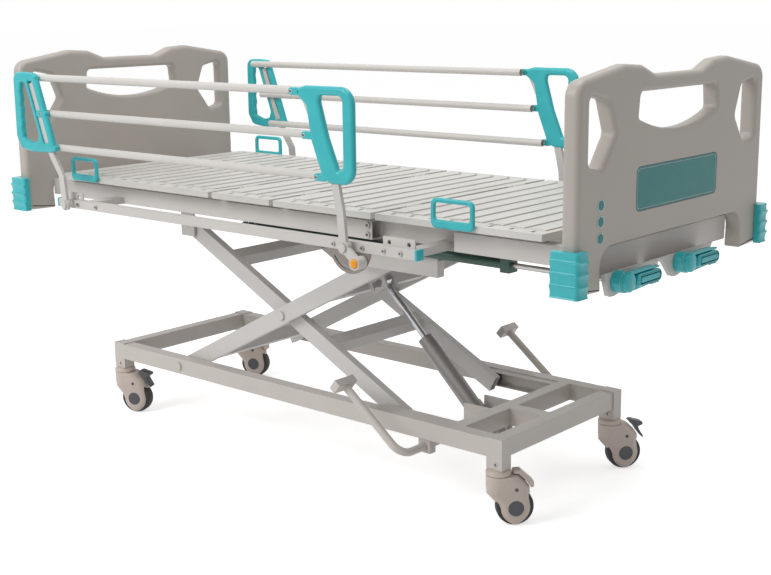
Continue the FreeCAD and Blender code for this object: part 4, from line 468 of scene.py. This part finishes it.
def lathe(profile, centre, axis, count=48):
    """A turned shape: each radius and height of the profile is carried round the axis."""
    profile = np.asarray(profile, float)
    angle = np.linspace(0, 2 * math.pi, count, endpoint=False)
    axis = np.asarray(axis, float) / np.linalg.norm(axis)
    side = np.cross(axis, (0.0, 0.0, 1.0) if abs(axis[2]) < 0.9 else (1.0, 0.0, 0.0))
    side = side / np.linalg.norm(side)
    ring = np.cos(angle)[:, None] * side + np.sin(angle)[:, None] * np.cross(axis, side)
    points = (profile[:, 0][:, None, None] * ring + profile[:, 1][:, None, None] * axis)
    return (points + np.asarray(centre, float)).reshape(-1, 3), grid_quads(
        len(profile), count).tolist()


def plug(radius, low, high, centre, axis, count):
    """A cylinder along an axis or, with few corners, a prism."""
    return lathe([(0, low), (radius, low), (radius, high), (0, high)], centre, axis, count)


def loft(rows):
    """A skin over stacked outlines of one length, closed by a flat face at each end."""
    rows = np.asarray(rows, float)
    count = rows.shape[1]
    faces = grid_quads(len(rows), count).tolist()
    last = (len(rows) - 1) * count
    faces.append(list(range(count))[::-1])
    faces.append(list(range(last, last + count)))
    return rows.reshape(-1, 3), faces


def turned_about(points, centre, degrees):
    """Points turned about an upright axis through a centre."""
    angle = math.radians(degrees)
    turn = np.array([[math.cos(angle), math.sin(angle), 0],
                     [-math.sin(angle), math.cos(angle), 0], [0, 0, 1]])
    return points @ turn + np.array([centre[0], centre[1], 0.0])


def clean_mesh(name, shapes):
    """One mesh in metres from (points, faces) shapes, with its faces turned outwards."""
    points, faces, start = [], [], 0
    for shape_points, shape_faces in shapes:
        points.append(shape_points)
        faces.extend([[corner + start for corner in face] for face in shape_faces])
        start += len(shape_points)
    mesh = bpy.data.meshes.new(name)
    mesh.from_pydata((np.vstack(points) * MM).tolist(), [], faces)
    build = bmesh.new()
    build.from_mesh(mesh)
    bmesh.ops.remove_doubles(build, verts=build.verts, dist=0.01 * MM)
    bmesh.ops.recalc_face_normals(build, faces=build.faces)
    build.to_mesh(mesh)
    build.free()
    return mesh


def make_piece(name, shapes, body, material, replaced, crease=40):
    """A smooth piece, sharp at its creases, that rides on a CAD body."""
    mesh = clean_mesh(name, shapes)
    mesh.shade_smooth()
    mesh.set_sharp_from_angle(angle=math.radians(crease))
    mesh.materials.append(material)
    piece = bpy.data.objects.new(name, mesh)
    bpy.context.scene.collection.objects.link(piece)
    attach(piece, body)
    if replaced:
        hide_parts(*replaced)
    return piece


def hollow_out(piece, shape):
    """Cuts the space of a shape out of a piece and keeps the cut mesh."""
    tool = bpy.data.objects.new("cutting_tool", clean_mesh("cutting_tool", [shape]))
    bpy.context.scene.collection.objects.link(tool)
    cut = piece.modifiers.new("space", "BOOLEAN")
    cut.operation = "DIFFERENCE"
    cut.object = tool
    cut.solver = "EXACT"
    view = bpy.context.evaluated_depsgraph_get()
    cut_mesh = bpy.data.meshes.new_from_object(piece.evaluated_get(view))
    piece.modifiers.clear()
    piece.data = cut_mesh
    bpy.data.objects.remove(tool)


# head and foot boards
ARCH_HALF = 354
ARCH_TOP = 784
BOARD_SIDE = 452
BOARD_CORNERS = [(348, 682), (BOARD_SIDE, 682), (BOARD_SIDE, 1163), (250, 1195), (175, 1190),
                 (112, 1166), (-112, 1166), (-175, 1190), (-250, 1195), (-BOARD_SIDE, 1163),
                 (-BOARD_SIDE, 682), (-348, 682), (-ARCH_HALF, ARCH_TOP), (ARCH_HALF, ARCH_TOP)]
BOARD_RADII = [4, 12, 40, 60, 24, 20, 20, 24, 60, 40, 12, 4, 55, 55]
SLOT_CORNERS = [(405, 1135), (405, 975), (352, 962), (294, 1040), (325, 1118)]
SLOT_RADIUS = 18
BOARD_THICK = 45
BOARD_EDGE = 15
ARCH_EDGE = 5
HOLE_EDGE = 11
FOOTBOARD_X = 1020.0
HEADBOARD_X = -1095.0
FOOTBOARD_FACE = FOOTBOARD_X + BOARD_THICK
HANDHOLD_TOP = 1128
HANDHOLD_HALF = 185
HANDHOLD_DROP = 60
ARC_HALF = 192
ARC_SAG = 36
BADGE_HALF = 200
BADGE_LOW = 848
BADGE_HIGH = 955
RECESS_DEPTH = 3.0
DOT_Y = -355
DOT_LEVELS = (807, 846, 884)
DOT_RADIUS = 11.5


def handhold_outline():
    """A flat top edge and, below it, the arc of a circle through three points."""
    radius = (ARC_HALF ** 2 + ARC_SAG ** 2) / (2 * ARC_SAG)
    reach = math.asin(ARC_HALF / radius)
    angle = np.linspace(reach, -reach, 25)
    arc_low = HANDHOLD_TOP - HANDHOLD_DROP - ARC_SAG
    arc = np.column_stack([radius * np.sin(angle), arc_low + radius * (1 - np.cos(angle))])
    top = [(-HANDHOLD_HALF, HANDHOLD_TOP), (HANDHOLD_HALF, HANDHOLD_TOP)]
    return fillet(np.vstack([top, arc]), [16, 16, 22] + [0] * (len(angle) - 2) + [22])


def badge_outline(margin, radius):
    """The badge recess's rounded rectangle, drawn smaller by an even margin."""
    half, low, high = BADGE_HALF - margin, BADGE_LOW + margin, BADGE_HIGH - margin
    return rectangle(-half, half, low, high, radius)


def make_board(name, low_x, recess=None):
    """A board with its handhold and two slots; the badge recess is in one only."""
    outer = wound(fillet(BOARD_CORNERS, BOARD_RADII))
    under_arch = (np.abs(outer[:, 0]) < ARCH_HALF + 2) & (outer[:, 1] < ARCH_TOP + 2)
    edge = np.where(under_arch, ARCH_EDGE, BOARD_EDGE)[:, None]
    slots = [fillet([(side * y, z) for y, z in SLOT_CORNERS], SLOT_RADIUS) for side in (-1, 1)]
    shape = rounded_plate(outer, [handhold_outline()] + slots, low_x, low_x + BOARD_THICK,
                          [edge, HOLE_EDGE, HOLE_EDGE, HOLE_EDGE], BOARD_AXES, recess, steps=7)
    make_piece(name + "_moulding", [shape], "bed", BOARD_PLASTIC, [name])


def make_inlays():
    """The bare badge plate with its pale raised line, and the three round inlays."""
    face = FOOTBOARD_FACE
    plate = rounded_plate(badge_outline(1, 15), [], face - RECESS_DEPTH, face - 1, 0.6,
                          BOARD_AXES)
    make_piece("badge_plate", [plate], "bed", BADGE_ABS, ["footboard_inlays"])
    line = rounded_plate(badge_outline(5, 12), [badge_outline(7, 10.5)], face - 1.4,
                         face - 0.4, 0.3, BOARD_AXES, steps=2)
    make_piece("badge_line", [line], "bed", BADGE_EDGE, ())
    dot = [(0, -0.5), (0, 1.0), (6, 0.9), (DOT_RADIUS, 0.3), (DOT_RADIUS, -0.5)]
    ring = [(DOT_RADIUS, -0.4), (DOT_RADIUS, 1.2), (12.2, 1.7), (13.4, 1.6), (14, 1.0),
            (14, -0.4), (DOT_RADIUS, -0.4)]
    for name, profile, material in (("inlay_dots", dot, BADGE_ABS),
                                    ("inlay_rings", ring, BADGE_EDGE)):
        shapes = [lathe(profile, (face, DOT_Y, z), (1, 0, 0)) for z in DOT_LEVELS]
        make_piece(name, shapes, "bed", material, ())


# corner buffers
BUFFER_LOW = 684.0
BUFFER_HIGH = 790.0
BUFFER_OUT = 22.5
BUFFER_SIDE_OUT = 25.5
BUFFER_ARM = 81
BUFFER_LIP = 23.5
SEAT_GAP = 0.3
RIDGE_START = 0.2
RIDGE_PITCH = 0.267
RIDGE_FADE = 18.0
FLUTE_DEPTH = 4.4
FLUTE_AT = [0, 0.15, 0.35, 0.55, 0.8, 0.92, 1]
FLUTE_SHARE = [0, 0.45, 0.85, 1, 1, 0.7, 0]
RIM_SHARE = 0.02
RIM_DEPTH = 3.0


def make_bumpers():
    """An L-shaped plan carried up its height.

    The outer faces stand out by a small amount that is greatest at each ridge. Below a
    ridge they fall back slowly, and just above the next one they come out again fast.
    """
    ridges = RIDGE_START + RIDGE_PITCH * np.arange(3)
    share = np.unique(np.concatenate([np.linspace(0, 1, 66), ridges, [0.01, 0.99]]))
    place = (share - RIDGE_START) / RIDGE_PITCH
    flute = np.interp(place - np.floor(place + 1e-9), FLUTE_AT, FLUTE_SHARE)
    rim = (np.clip(1 - share / RIM_SHARE, 0, 1) ** 2
           + np.clip((share - (1 - RIM_SHARE)) / RIM_SHARE, 0, 1) ** 2)
    shrink = FLUTE_DEPTH * flute + RIM_DEPTH * rim
    heights = BUFFER_HIGH - (BUFFER_HIGH - BUFFER_LOW) * share
    shapes = []
    for end, face_x in ((1, FOOTBOARD_FACE), (-1, HEADBOARD_X)):
        for side in (-1, 1):
            inner = np.array([face_x + end * SEAT_GAP, side * (BOARD_SIDE + SEAT_GAP)])
            outer = (face_x + end * BUFFER_OUT, side * (BOARD_SIDE + BUFFER_SIDE_OUT))
            tip = (outer[0] - end * BUFFER_ARM, side * (BOARD_SIDE - BUFFER_LIP))
            corners = [inner, (inner[0], tip[1]), (outer[0], tip[1]), outer,
                       (tip[0], outer[1]), (tip[0], inner[1])]
            plan = fillet(corners, [1, 2, 5, 10, 5, 2])
            weight = np.clip((plan - inner) * (end, side) / RIDGE_FADE, 0, 1)
            rows = [np.column_stack([plan - (end, side) * weight * fall,
                                     np.full(len(plan), height)])
                    for fall, height in zip(shrink, heights)]
            shapes.append(loft(rows))
    make_piece("ribbed_corner_buffers", shapes, "bed", TEAL_ABS, ["corner_bumpers"],
               crease=28)


# side guards: outlines are measured from the pivot of each end's post
PIVOTS = {"foot": (405.0, 734.0), "head": (-775.0, 734.0)}
FOOT_HANDLE = [(-150, 394), (-120, 402), (45, 402), (45, 160), (-34, 158), (-62, 168),
               (-100, 262), (-116, 352), (-150, 378)]
FOOT_RADII = [6, 10, 44, 42, 12, 10, 30, 12, 6]
FOOT_OPENING = [(-68, 379), (8, 379), (8, 205), (-6, 186), (-44, 275), (-70, 362)]
HEAD_HANDLE = [(-228, 402), (-170, 404), (-112, 401), (-30, 176), (-46, 158), (-150, 155),
               (-206, 162), (-230, 200)]
HEAD_RADII = [26, 20, 20, 16, 12, 30, 26, 26]
GRIP_X = -192
HEAD_OPENING = [(GRIP_X, 372), (-166, 372), (-108, 214), (-116, 190), (-150, 185),
                (GRIP_X, 198)]
OPENING_RADII = [10, 14, 14, 14, 18, 6]
POST_CHANNEL = [(-152, 378), (-124, 381), (-56, 190), (-82, 184)]
FINGER_PITCH = 38
FINGER_DEPTH = 3.2
FINGER_LOW = 208
FINGER_STEP = 2.0
HANDLE_INNER = 492.6
HANDLE_OUTER = 512.0
HANDLE_EDGE = 9.4
RAIL_SPOTS = [(83, 172.5), (125, 276.5), (167, 386)]
TAB_SPANS = {"foot": (-10, 34), "head": (10, 60)}
SCREW_SHIFT = {"foot": 0, "head": 34}
TAB_HALF = 10
TAB_INSET = 1.1
SCREW_SINK = 1.3
HANDLE_SCREW = [(0, -1), (5.4, -1), (5.4, 0.5), (4.6, 1.2), (3.4, 1.2), (3.2, 0.1), (0, 0.1)]
BUTTON_REACH = 58
BUTTON_LEAN = (0.79, 0.613)
BUTTON_RADIUS = 11.9
DOME_TOP = 519.9
DOME_RISE = 3.5


def guard_loop(end, corners, radii):
    """A rounded outline, moved to the pivot that it is measured from."""
    return fillet(np.array(corners, float) + PIVOTS[end], radii)


def finger_opening():
    """The hand opening of a head end handle, hollowed along the grip for four fingers.

    The straight side by the grip is a row of close points whose depth is a cosine of
    their height over the finger pitch.
    """
    height = np.arange(4 * FINGER_PITCH / FINGER_STEP) * FINGER_STEP + FINGER_LOW
    turn = 2 * np.pi * (height - height[0]) / FINGER_PITCH
    row = np.column_stack([GRIP_X - FINGER_DEPTH / 2 * (1 - np.cos(turn)), height])
    return guard_loop("head", np.vstack([HEAD_OPENING, row]), OPENING_RADII + [0] * len(row))


def make_handles():
    """Each handle is a rounded plate with openings; its lugs are rounded tabs."""
    outlines = {"foot": guard_loop("foot", FOOT_HANDLE, FOOT_RADII),
                "head": guard_loop("head", HEAD_HANDLE, HEAD_RADII)}
    openings = {"foot": [guard_loop("foot", FOOT_OPENING, 16)],
                "head": [finger_opening(), guard_loop("head", POST_CHANNEL, 6)]}
    edges = {"foot": [HANDLE_EDGE, HANDLE_EDGE], "head": [HANDLE_EDGE, 6.5, 2.5]}
    for side, sign in (("near", 1), ("far", -1)):
        low, high = sorted((sign * HANDLE_INNER, sign * HANDLE_OUTER))
        outwards = (0, -sign, 0)
        for end, outline in outlines.items():
            shapes = [rounded_plate(outline, openings[end], low, high, edges[end], SIDE_AXES,
                                    steps=7)]
            screws, socket_shades = [], []
            for lean, rise in RAIL_SPOTS:
                first, last = (reach - lean for reach in TAB_SPANS[end])
                tab = guard_loop(end, [(first, rise - TAB_HALF), (last, rise - TAB_HALF),
                                       (last, rise + TAB_HALF), (first, rise + TAB_HALF)], 9.9)
                shapes.append(rounded_plate(tab, [], low + TAB_INSET, high - TAB_INSET, 3.5,
                                            SIDE_AXES))
                spot = (PIVOTS[end][0] - lean + SCREW_SHIFT[end],
                        -sign * (HANDLE_OUTER - SCREW_SINK), PIVOTS[end][1] + rise)
                screws.append(lathe(HANDLE_SCREW, spot, outwards, 24))
                # a dark six-sided plug in each screw's recess: painted shade standing in for the
                # hex socket
                socket_shades.append(plug(3.3, 0.1, 0.7, spot, outwards, 6))
            name = "%s_%s_handle" % (side, end)
            body = "%s_%s_side" % (side, end)
            make_piece(name + "_moulding", shapes, body, TEAL_ABS, [name])
            make_piece(name + "_screws", screws, body, ZINC, ())
            make_piece(name + "_socket_shades", socket_shades, body, DARK_NYLON_AND_SOCKET_SHADE, ())


def make_buttons():
    """A domed push button: the dome is a shallow arc turned about the button's axis."""
    pivot_x, pivot_z = PIVOTS["foot"]
    centre = (pivot_x + BUTTON_REACH * BUTTON_LEAN[0], 0,
              pivot_z - BUTTON_REACH * BUTTON_LEAN[1])
    turn = np.linspace(0, math.pi / 2, 8)
    dome = np.column_stack([BUTTON_RADIUS * np.sin(turn),
                            DOME_TOP - DOME_RISE * (1 - np.cos(turn))])
    stem = [(BUTTON_RADIUS, 508.3), (4, 508.3), (4, 474), (0, 474)]
    for side, sign in (("near", -1), ("far", 1)):
        shape = lathe(np.vstack([dome, stem]), centre, (0, sign, 0))
        make_piece(side + "_button_cap", [shape], side + "_button", ORANGE_PLASTIC,
                   [side + "_release_button"])


# mattress stops
STOP_STARTS = {"back": -869.0, "leg": 610.0}
STOP_LENGTH = 133
STOP_LOW = 793
STOP_HIGH = 869
STOP_INNER = 396.3
STOP_OUTER = 408.3
STOP_BAR = 12
STOP_FOOT = 22


def make_stops():
    """A closed loop of moulded bar with a foot along the deck's edge."""
    for body, start in STOP_STARTS.items():
        end = start + STOP_LENGTH
        outer = rectangle(start, end, STOP_LOW, STOP_HIGH, 17)
        inner = rectangle(start + STOP_BAR, end - STOP_BAR, STOP_LOW + STOP_FOOT,
                          STOP_HIGH - STOP_BAR, 8)
        shapes = [rounded_plate(outer, [inner], *sorted((side * STOP_INNER, side * STOP_OUTER)),
                                5.2, SIDE_AXES) for side in (1, -1)]
        make_piece(body + "_stop_loops", shapes, body, TEAL_ABS, [body + "_mattress_stops"])


# castors: outlines are measured from the stem's axis along the trail
POSTS = {"near_head": (-825.0, -272.0, 24), "far_head": (-825.0, 272.0, 26),
         "near_foot": (725.0, -272.0, 47), "far_foot": (725.0, 272.0, 52)}
TRAIL = 42.0
WHEEL = 50.0
COVER_RADIUS = 47.0
COLLAR = [(0, 136.9), (29, 136.9), (29, 138.4), (33, 138.4), (34, 139.4), (34, 147.6),
          (33, 149), (26, 153.6), (10, 153.6), (10, 188), (9, 189.7), (0, 189.7)]
TYRE = [(21, -17), (40, -17), (45, -17.5), (48.8, -15), (49.9, -10), (WHEEL, 0), (49.9, 10),
        (48.8, 15), (45, 17.5), (40, 17), (21, 17), (21, -17)]
HUB_CAP = [(0, 20), (21, 20), (21, 28.2), (20, 29), (17, 29.3), (12, 29.1), (0, 29.1)]
HUB_CORE = [(0, -20), (21, -14), (21, 14), (0, 20)]
SPACE_RADIUS = 53.5
SPACE_HALF = 19
PIN_RISE = 53
PALE_BRAKES = ("near_foot", "far_head")
PALE_BRAKE = [(37, 141), (37, 149), (56, 150), (91, 118), (92, 104), (84.5, 100.5),
              (72, 118.5), (51.5, 138.8)]
DARK_BRAKE = [(53, 143), (60, 136), (74, 121), (82, 108), (97, 89), (100, 92), (88, 112),
              (82, 124), (97, 129), (96, 137), (64, 146)]
BRAKE_HALF = 15


def castor_housing():
    """Stadium-shaped plans stacked from the wheel covers to the shoulder.

    The nose and tail of each plan follow the housing's side outline, which is a circle
    round the axle up to the axle's height. The half width grows slowly from the covers to
    the shoulder and is drawn in a little at the bottom and the top.
    """
    heights = np.array([3.5, 4.5, 7, 12, 18, 26, 36, 50, 62, 76, 88, 101, 110, 118, 128, 134,
                        136, 137])
    reach = np.sqrt(np.clip(COVER_RADIUS ** 2 - (heights - WHEEL) ** 2, 1, None))
    cover_nose, cover_tail = TRAIL - reach, TRAIL + reach
    body_nose = np.interp(heights, [50, 62, 88, 110, 137], [-2.0, -10.0, -32.0, -33.5, -33.5])
    body_tail = np.interp(heights, [50, 76, 101, 118, 137], [89.0, 84.0, 82.0, 70.0, 50.0])
    nose = np.where(heights < 50, cover_nose, np.minimum(cover_nose, body_nose))
    nose = np.where(heights > 88, body_nose, nose)
    tail = np.where(heights < 50, cover_tail, body_tail)
    half = np.interp(heights, [3.5, 7, 14, 76, 101, 134, 137],
                     [22.0, 25.5, 27.0, 28.0, 32.5, 33.0, 31.0])
    turn = np.linspace(0, 2 * math.pi, 56, endpoint=False)
    rows = []
    for height, front, back, wide in zip(heights, nose, tail, half):
        middle, run = (front + back) / 2, (back - front) / 2
        round_run = min(wide, run)
        x = np.sign(np.cos(turn)) * (run - round_run) + round_run * np.cos(turn)
        rows.append(np.column_stack([middle + x, wide * np.sin(turn),
                                     np.full(len(turn), height)]))
    return loft(rows)


def make_castor(name, x, y, heading):
    """One castor, turned to its heading: its fork and pins, its wheel and its brake."""
    turn = math.radians(heading)
    axle = (x + TRAIL * math.cos(turn), y + TRAIL * math.sin(turn), WHEEL)
    sides = [(-math.sin(turn), math.cos(turn), 0.0), (math.sin(turn), -math.cos(turn), 0.0)]
    swivel, roller, pedal = (name + "_castor_" + part for part in ("swivel", "roller", "pedal"))
    points, faces = castor_housing()
    fork = make_piece(name + "_castor_housing", [(turned_about(points, (x, y), heading), faces)],
                      swivel, CASTOR_NYLON, [name + "_castor_fork"], crease=50)
    hollow_out(fork, plug(SPACE_RADIUS, -SPACE_HALF, SPACE_HALF, axle, sides[0], 48))
    make_piece(name + "_castor_collar", [lathe(COLLAR, (x, y, 0), (0, 0, 1))], swivel,
               CASTOR_NYLON, ())
    make_piece(name + "_castor_tyre", [lathe(TYRE, axle, sides[0], 64)], roller, TYRE_RUBBER,
               [name + "_castor_wheel"])
    hub = [lathe(HUB_CAP, axle, side) for side in sides[::-1]] + [lathe(HUB_CORE, axle, sides[0])]
    make_piece(name + "_castor_hub", hub, roller, DARK_NYLON_AND_SOCKET_SHADE, ())
    pin_spot = (axle[0], axle[1], WHEEL + PIN_RISE)
    make_piece(name + "_castor_pin", [plug(4.8, 30, 33.4, pin_spot, side, 20)
                                      for side in sides[::-1]], swivel, DARK_NYLON_AND_SOCKET_SHADE, ())
    pale = name in PALE_BRAKES
    points, faces = rounded_plate(fillet(PALE_BRAKE if pale else DARK_BRAKE, 3), [],
                                  -BRAKE_HALF, BRAKE_HALF, 1.8, SIDE_AXES, steps=3)
    make_piece(name + "_brake_lever", [(turned_about(points, (x, y), heading), faces)], pedal,
               CASTOR_NYLON if pale else DARK_NYLON_AND_SOCKET_SHADE, [name + "_castor_brake"])


# cranks
CRANKS = (("back", -292.0), ("knee", 0.0))
CRANK_Z = 700.0
HUB_PROFILE = [(0, 1071.7), (24.5, 1071.7), (26.4, 1073.6), (26.4, 1096.6), (25.8, 1097.3),
               (0, 1097.3)]
ARM_X = 1097.5
ARM_THICK = 4
BOSS_PROFILE = [(0, ARM_X), (23, ARM_X), (23, 1110), (21.5, 1112.5), (18, 1114), (0, 1114.6)]
EAR_INNER = 16.4
EAR_OUTER = 20.5
FLANGE_OUTER = 25
GRIP_HALF = 15.6
GRIP_X_SPAN = (1102.2, 1117)
TRACK_HALF = 11
TRACK_DEPTH = 3.6
ISLAND_HALF = 7
ISLAND_X_SPAN = (1113, 1117.9)


def slab(span_x, span_y, span_z, edge):
    """A block with rounded edges all along the x direction's outline."""
    return rounded_plate(rectangle(*span_y, *span_z, edge), [], *span_x, edge * 0.6,
                         BOARD_AXES, steps=3)


def make_cranks():
    """The hub and boss are turned about the screw's axis; the rest are rounded plates.

    The grip's front has a race-track groove: a recess with a smaller island in it.
    """
    z = CRANK_Z
    for name, y in CRANKS:
        hub = lathe(HUB_PROFILE, (0, y, z), (1, 0, 0))
        make_piece(name + "_crank_hub", [hub], name + "_crank", TEAL_ABS, ())
        web = fillet([(y - 25, z - FLANGE_OUTER), (y + 30, z - FLANGE_OUTER),
                      (y + 123, z - EAR_OUTER), (y + 123, z + EAR_OUTER),
                      (y + 108, z + FLANGE_OUTER), (y - 25, z + FLANGE_OUTER)],
                     [24, 30, 5, 5, 10, 24])
        shapes = [rounded_plate(web, [], ARM_X, ARM_X + ARM_THICK, 0.9, BOARD_AXES),
                  lathe(BOSS_PROFILE, (0, y, z), (1, 0, 0)),
                  slab((ARM_X, 1113), (y - 6, y + 104), (z + 18.5, z + FLANGE_OUTER), 3)]
        for side in (-1, 1):
            ear = sorted((z + side * EAR_INNER, z + side * EAR_OUTER))
            shapes.append(slab((ARM_X, 1109), (y + 96, y + 135.5), ear, 1.9))
        make_piece(name + "_crank_moulding", shapes, name + "_crank", TEAL_ABS,
                   [name + "_crank_arm"])
        grip = rectangle(y + 25, y + 137, z - GRIP_HALF, z + GRIP_HALF, [12, 15, 15, 12])
        track = rectangle(y + 34, y + 129, z - TRACK_HALF, z + TRACK_HALF, 10.5)
        island = rectangle(y + 38, y + 125, z - ISLAND_HALF, z + ISLAND_HALF, 6.5)
        make_piece(name + "_crank_handle",
                   [rounded_plate(grip, [], *GRIP_X_SPAN, 6, BOARD_AXES,
                                  (track, TRACK_DEPTH, 0.8)),
                    rounded_plate(island, [], *ISLAND_X_SPAN, 2.8, BOARD_AXES)],
                   name + "_grip", TEAL_ABS, [name + "_crank_grip"])


# crank brackets
APRON = (-343, 343, 703, 769)
APRON_X = (1020.3, 1023.3)
PLATE_X = (1068.6, 1071.5)
PLATE_TOP = 723
BORE_RADIUS = 9


def make_crank_brackets():
    """Pressed sheet under the foot end: an apron, and a plate behind each crank.

    Each plate's top is bent back and down to the apron's lower edge, and its slanted side
    has a narrow flange.
    """
    back, face = PLATE_X
    shapes = [rounded_plate(rectangle(*APRON, 3), [], *APRON_X, 1.2, BOARD_AXES)]
    turn = np.linspace(0, 2 * math.pi, 32, endpoint=False)
    for name, y in CRANKS:
        left = max(y - 82, -344.0)
        plate = [(left, PLATE_TOP), (y - 30, 666), (y - 6, 664), (y + 60, 676), (y + 166, 704),
                 (y + 181, PLATE_TOP)]
        bore = np.column_stack([y + BORE_RADIUS * np.cos(turn),
                                CRANK_Z + BORE_RADIUS * np.sin(turn)])
        shapes.append(rounded_plate(fillet(plate, [2, 8, 10, 30, 8, 2]), [bore], back, face,
                                    1.0, BOARD_AXES, steps=3))
        shapes.append(loft([[(face, side, 722.5), (back, side, 719.5), (1023.0, side, 702.8),
                             (1020.4, side, 704.5), (1023.0, side, 706.0), (back, side, 722.8)]
                            for side in (left + 1, y + 180)]))
        shapes.append(loft([[(face - 0.1, side, height), (1060, side, height),
                             (1060, side + 3, height), (face - 0.1, side + 3, height)]
                            for side, height in ((left + 1, 721), (y - 31, 668))]))
    make_piece("crank_bracket_sheets", shapes, "bed", FRAME_COAT, ())


# bolts
BOLT_ROW_X = (349, 449, 520, 575, -650, -740)
BOLT_ROW_Z = 734.0
GUARD_FACE = 480.0
SPLICE_X = 352.0
SPLICE_LEVELS = (739.0, 765.0)
BED_HALF = 350.0
POST_BOLT = [(0, -0.5), (6.6, -0.5), (6.6, 0.4), (5.4, 1.9), (3.4, 2.2), (3.3, 0.9), (0, 0.9)]
POST_BOLT_Z = 169.0
POST_BOLT_SHIFT = 5
POST_OUTER = 292.0
POST_INNER = 252.0


def make_bolt_socket_shades():
    """A dark six-sided plug, painted shade of the hex socket, in each side bolt of the bed frame
    and the guard tubes.
    """
    shapes = []
    for side in (-1, 1):
        outwards = (0, side, 0)
        for x in BOLT_ROW_X:
            spot = (x, side * (GUARD_FACE + 4), BOLT_ROW_Z)
            shapes.append(plug(3.4, 0, 0.5, spot, outwards, 6))
        for z in SPLICE_LEVELS:
            spot = (SPLICE_X, side * (BED_HALF + 5), z)
            shapes.append(plug(4.2, 0, 0.5, spot, outwards, 6))
    make_piece("bolt_socket_shades", shapes, "bed", DARK_NYLON_AND_SOCKET_SHADE, ())


def make_post_bolts():
    """A button-headed bolt on both faces of each castor post, holding the stem; its dark socket
    plug is painted shade.
    """
    heads, socket_shades = [], []
    for post_x in (POSTS["near_head"][0], POSTS["near_foot"][0]):
        for side in (-1, 1):
            for y, facing in ((POST_OUTER, side), (POST_INNER, -side)):
                spot, outwards = (post_x + POST_BOLT_SHIFT, side * y, POST_BOLT_Z), (0, facing, 0)
                heads.append(lathe(POST_BOLT, spot, outwards, 24))
                # a dark six-sided plug in the head's recess: painted shade standing in for the
                # hex socket
                socket_shades.append(plug(3.3, 0.9, 1.3, spot, outwards, 6))
    make_piece("post_bolt_heads", heads, "base", ZINC, ())
    make_piece("post_bolt_socket_shades", socket_shades, "base", DARK_NYLON_AND_SOCKET_SHADE, ())


# studio
FLOOR_REACH = 60.0
FLOOR_GLOW = 0.62
SURROUND_LEVEL = 0.43
LAMPS = (("key_lamp", (-1.6, -4.2, 3.6), (0, 0, 0.6), 3.0, 128.0),
         ("top_lamp", (0.3, 0.3, 4.6), (-0.3, 0, 0.5), 2.6, 66.0))


def background_rays(tree):
    """One for rays from the camera, off gloss or through glass, and zero for the rest."""
    rays = add(tree, "LightPath")
    seen = add(tree, "Math", {0: rays.outputs["Is Camera Ray"],
                              1: rays.outputs["Is Glossy Ray"]}, operation="MAXIMUM")
    through = add(tree, "Math", {0: seen.outputs["Value"],
                                 1: rays.outputs["Is Transmission Ray"]}, operation="MAXIMUM")
    return through.outputs["Value"]


def make_floor():
    """A pale floor that keeps the shadow and looks nearly white to the camera."""
    mesh = bpy.data.meshes.new("floor")
    mesh.from_pydata([(-FLOOR_REACH, -FLOOR_REACH, 0), (FLOOR_REACH, -FLOOR_REACH, 0),
                      (FLOOR_REACH, FLOOR_REACH, 0), (-FLOOR_REACH, FLOOR_REACH, 0)], [],
                     [(0, 1, 2, 3)])
    floor = bpy.data.objects.new("floor", mesh)
    bpy.context.scene.collection.objects.link(floor)
    material = bpy.data.materials.new("pale_studio_floor")
    material.use_nodes = True
    tree = material.node_tree
    shader = tree.nodes["Principled BSDF"]
    shader.inputs["Base Color"].default_value = (0.86, 0.86, 0.86, 1)
    shader.inputs["Roughness"].default_value = 0.9
    shader.inputs["Specular IOR Level"].default_value = 0.0
    lift = add(tree, "Math", {0: background_rays(tree), 1: FLOOR_GLOW}, operation="MULTIPLY")
    glow = add(tree, "Emission", {"Color": (1, 1, 1, 1), "Strength": lift.outputs["Value"]})
    both = add(tree, "AddShader", {0: shader.outputs["BSDF"], 1: glow.outputs["Emission"]})
    tree.links.new(both.outputs["Shader"], tree.nodes["Material Output"].inputs["Surface"])
    mesh.materials.append(material)


def make_surround():
    """A world that looks white and lights the bed less than that."""
    world = bpy.data.worlds.new("studio")
    world.use_nodes = True
    bpy.context.scene.world = world
    tree = world.node_tree
    level = add(tree, "MapRange", {"Value": background_rays(tree), "To Min": SURROUND_LEVEL,
                                   "To Max": 1.0})
    tree.links.new(level.outputs["Result"], tree.nodes["Background"].inputs["Strength"])
    tree.nodes["Background"].inputs["Color"].default_value = (1, 1, 1, 1)


def make_lamps():
    """Two wide soft lamps, each turned towards a point on the bed."""
    for name, place, aim, size, power in LAMPS:
        lamp = bpy.data.lights.new(name, "AREA")
        lamp.shape = "DISK"
        lamp.size = size
        lamp.energy = power
        towards = np.array(aim, float) - np.array(place, float)
        towards = towards / np.linalg.norm(towards)
        right = np.cross(towards, (0.0, 0.0, 1.0))
        right = right / np.linalg.norm(right)
        turn = Matrix(np.column_stack([right, np.cross(right, towards), -towards]).tolist())
        lamp_object = bpy.data.objects.new(name, lamp)
        lamp_object.matrix_world = Matrix.Translation(place) @ turn.to_4x4()
        bpy.context.scene.collection.objects.link(lamp_object)


make_camera()
finish_nodes()
make_board("footboard", FOOTBOARD_X, (badge_outline(0, 16), RECESS_DEPTH, 1.2))
make_board("headboard", HEADBOARD_X)
make_inlays()
make_bumpers()
make_handles()
make_buttons()
make_stops()
for post_name, post in POSTS.items():
    make_castor(post_name, *post)
make_cranks()
make_crank_brackets()
make_bolt_socket_shades()
make_post_bolts()
make_floor()
make_surround()
make_lamps()
bpy.context.scene.view_settings.view_transform = "Standard"
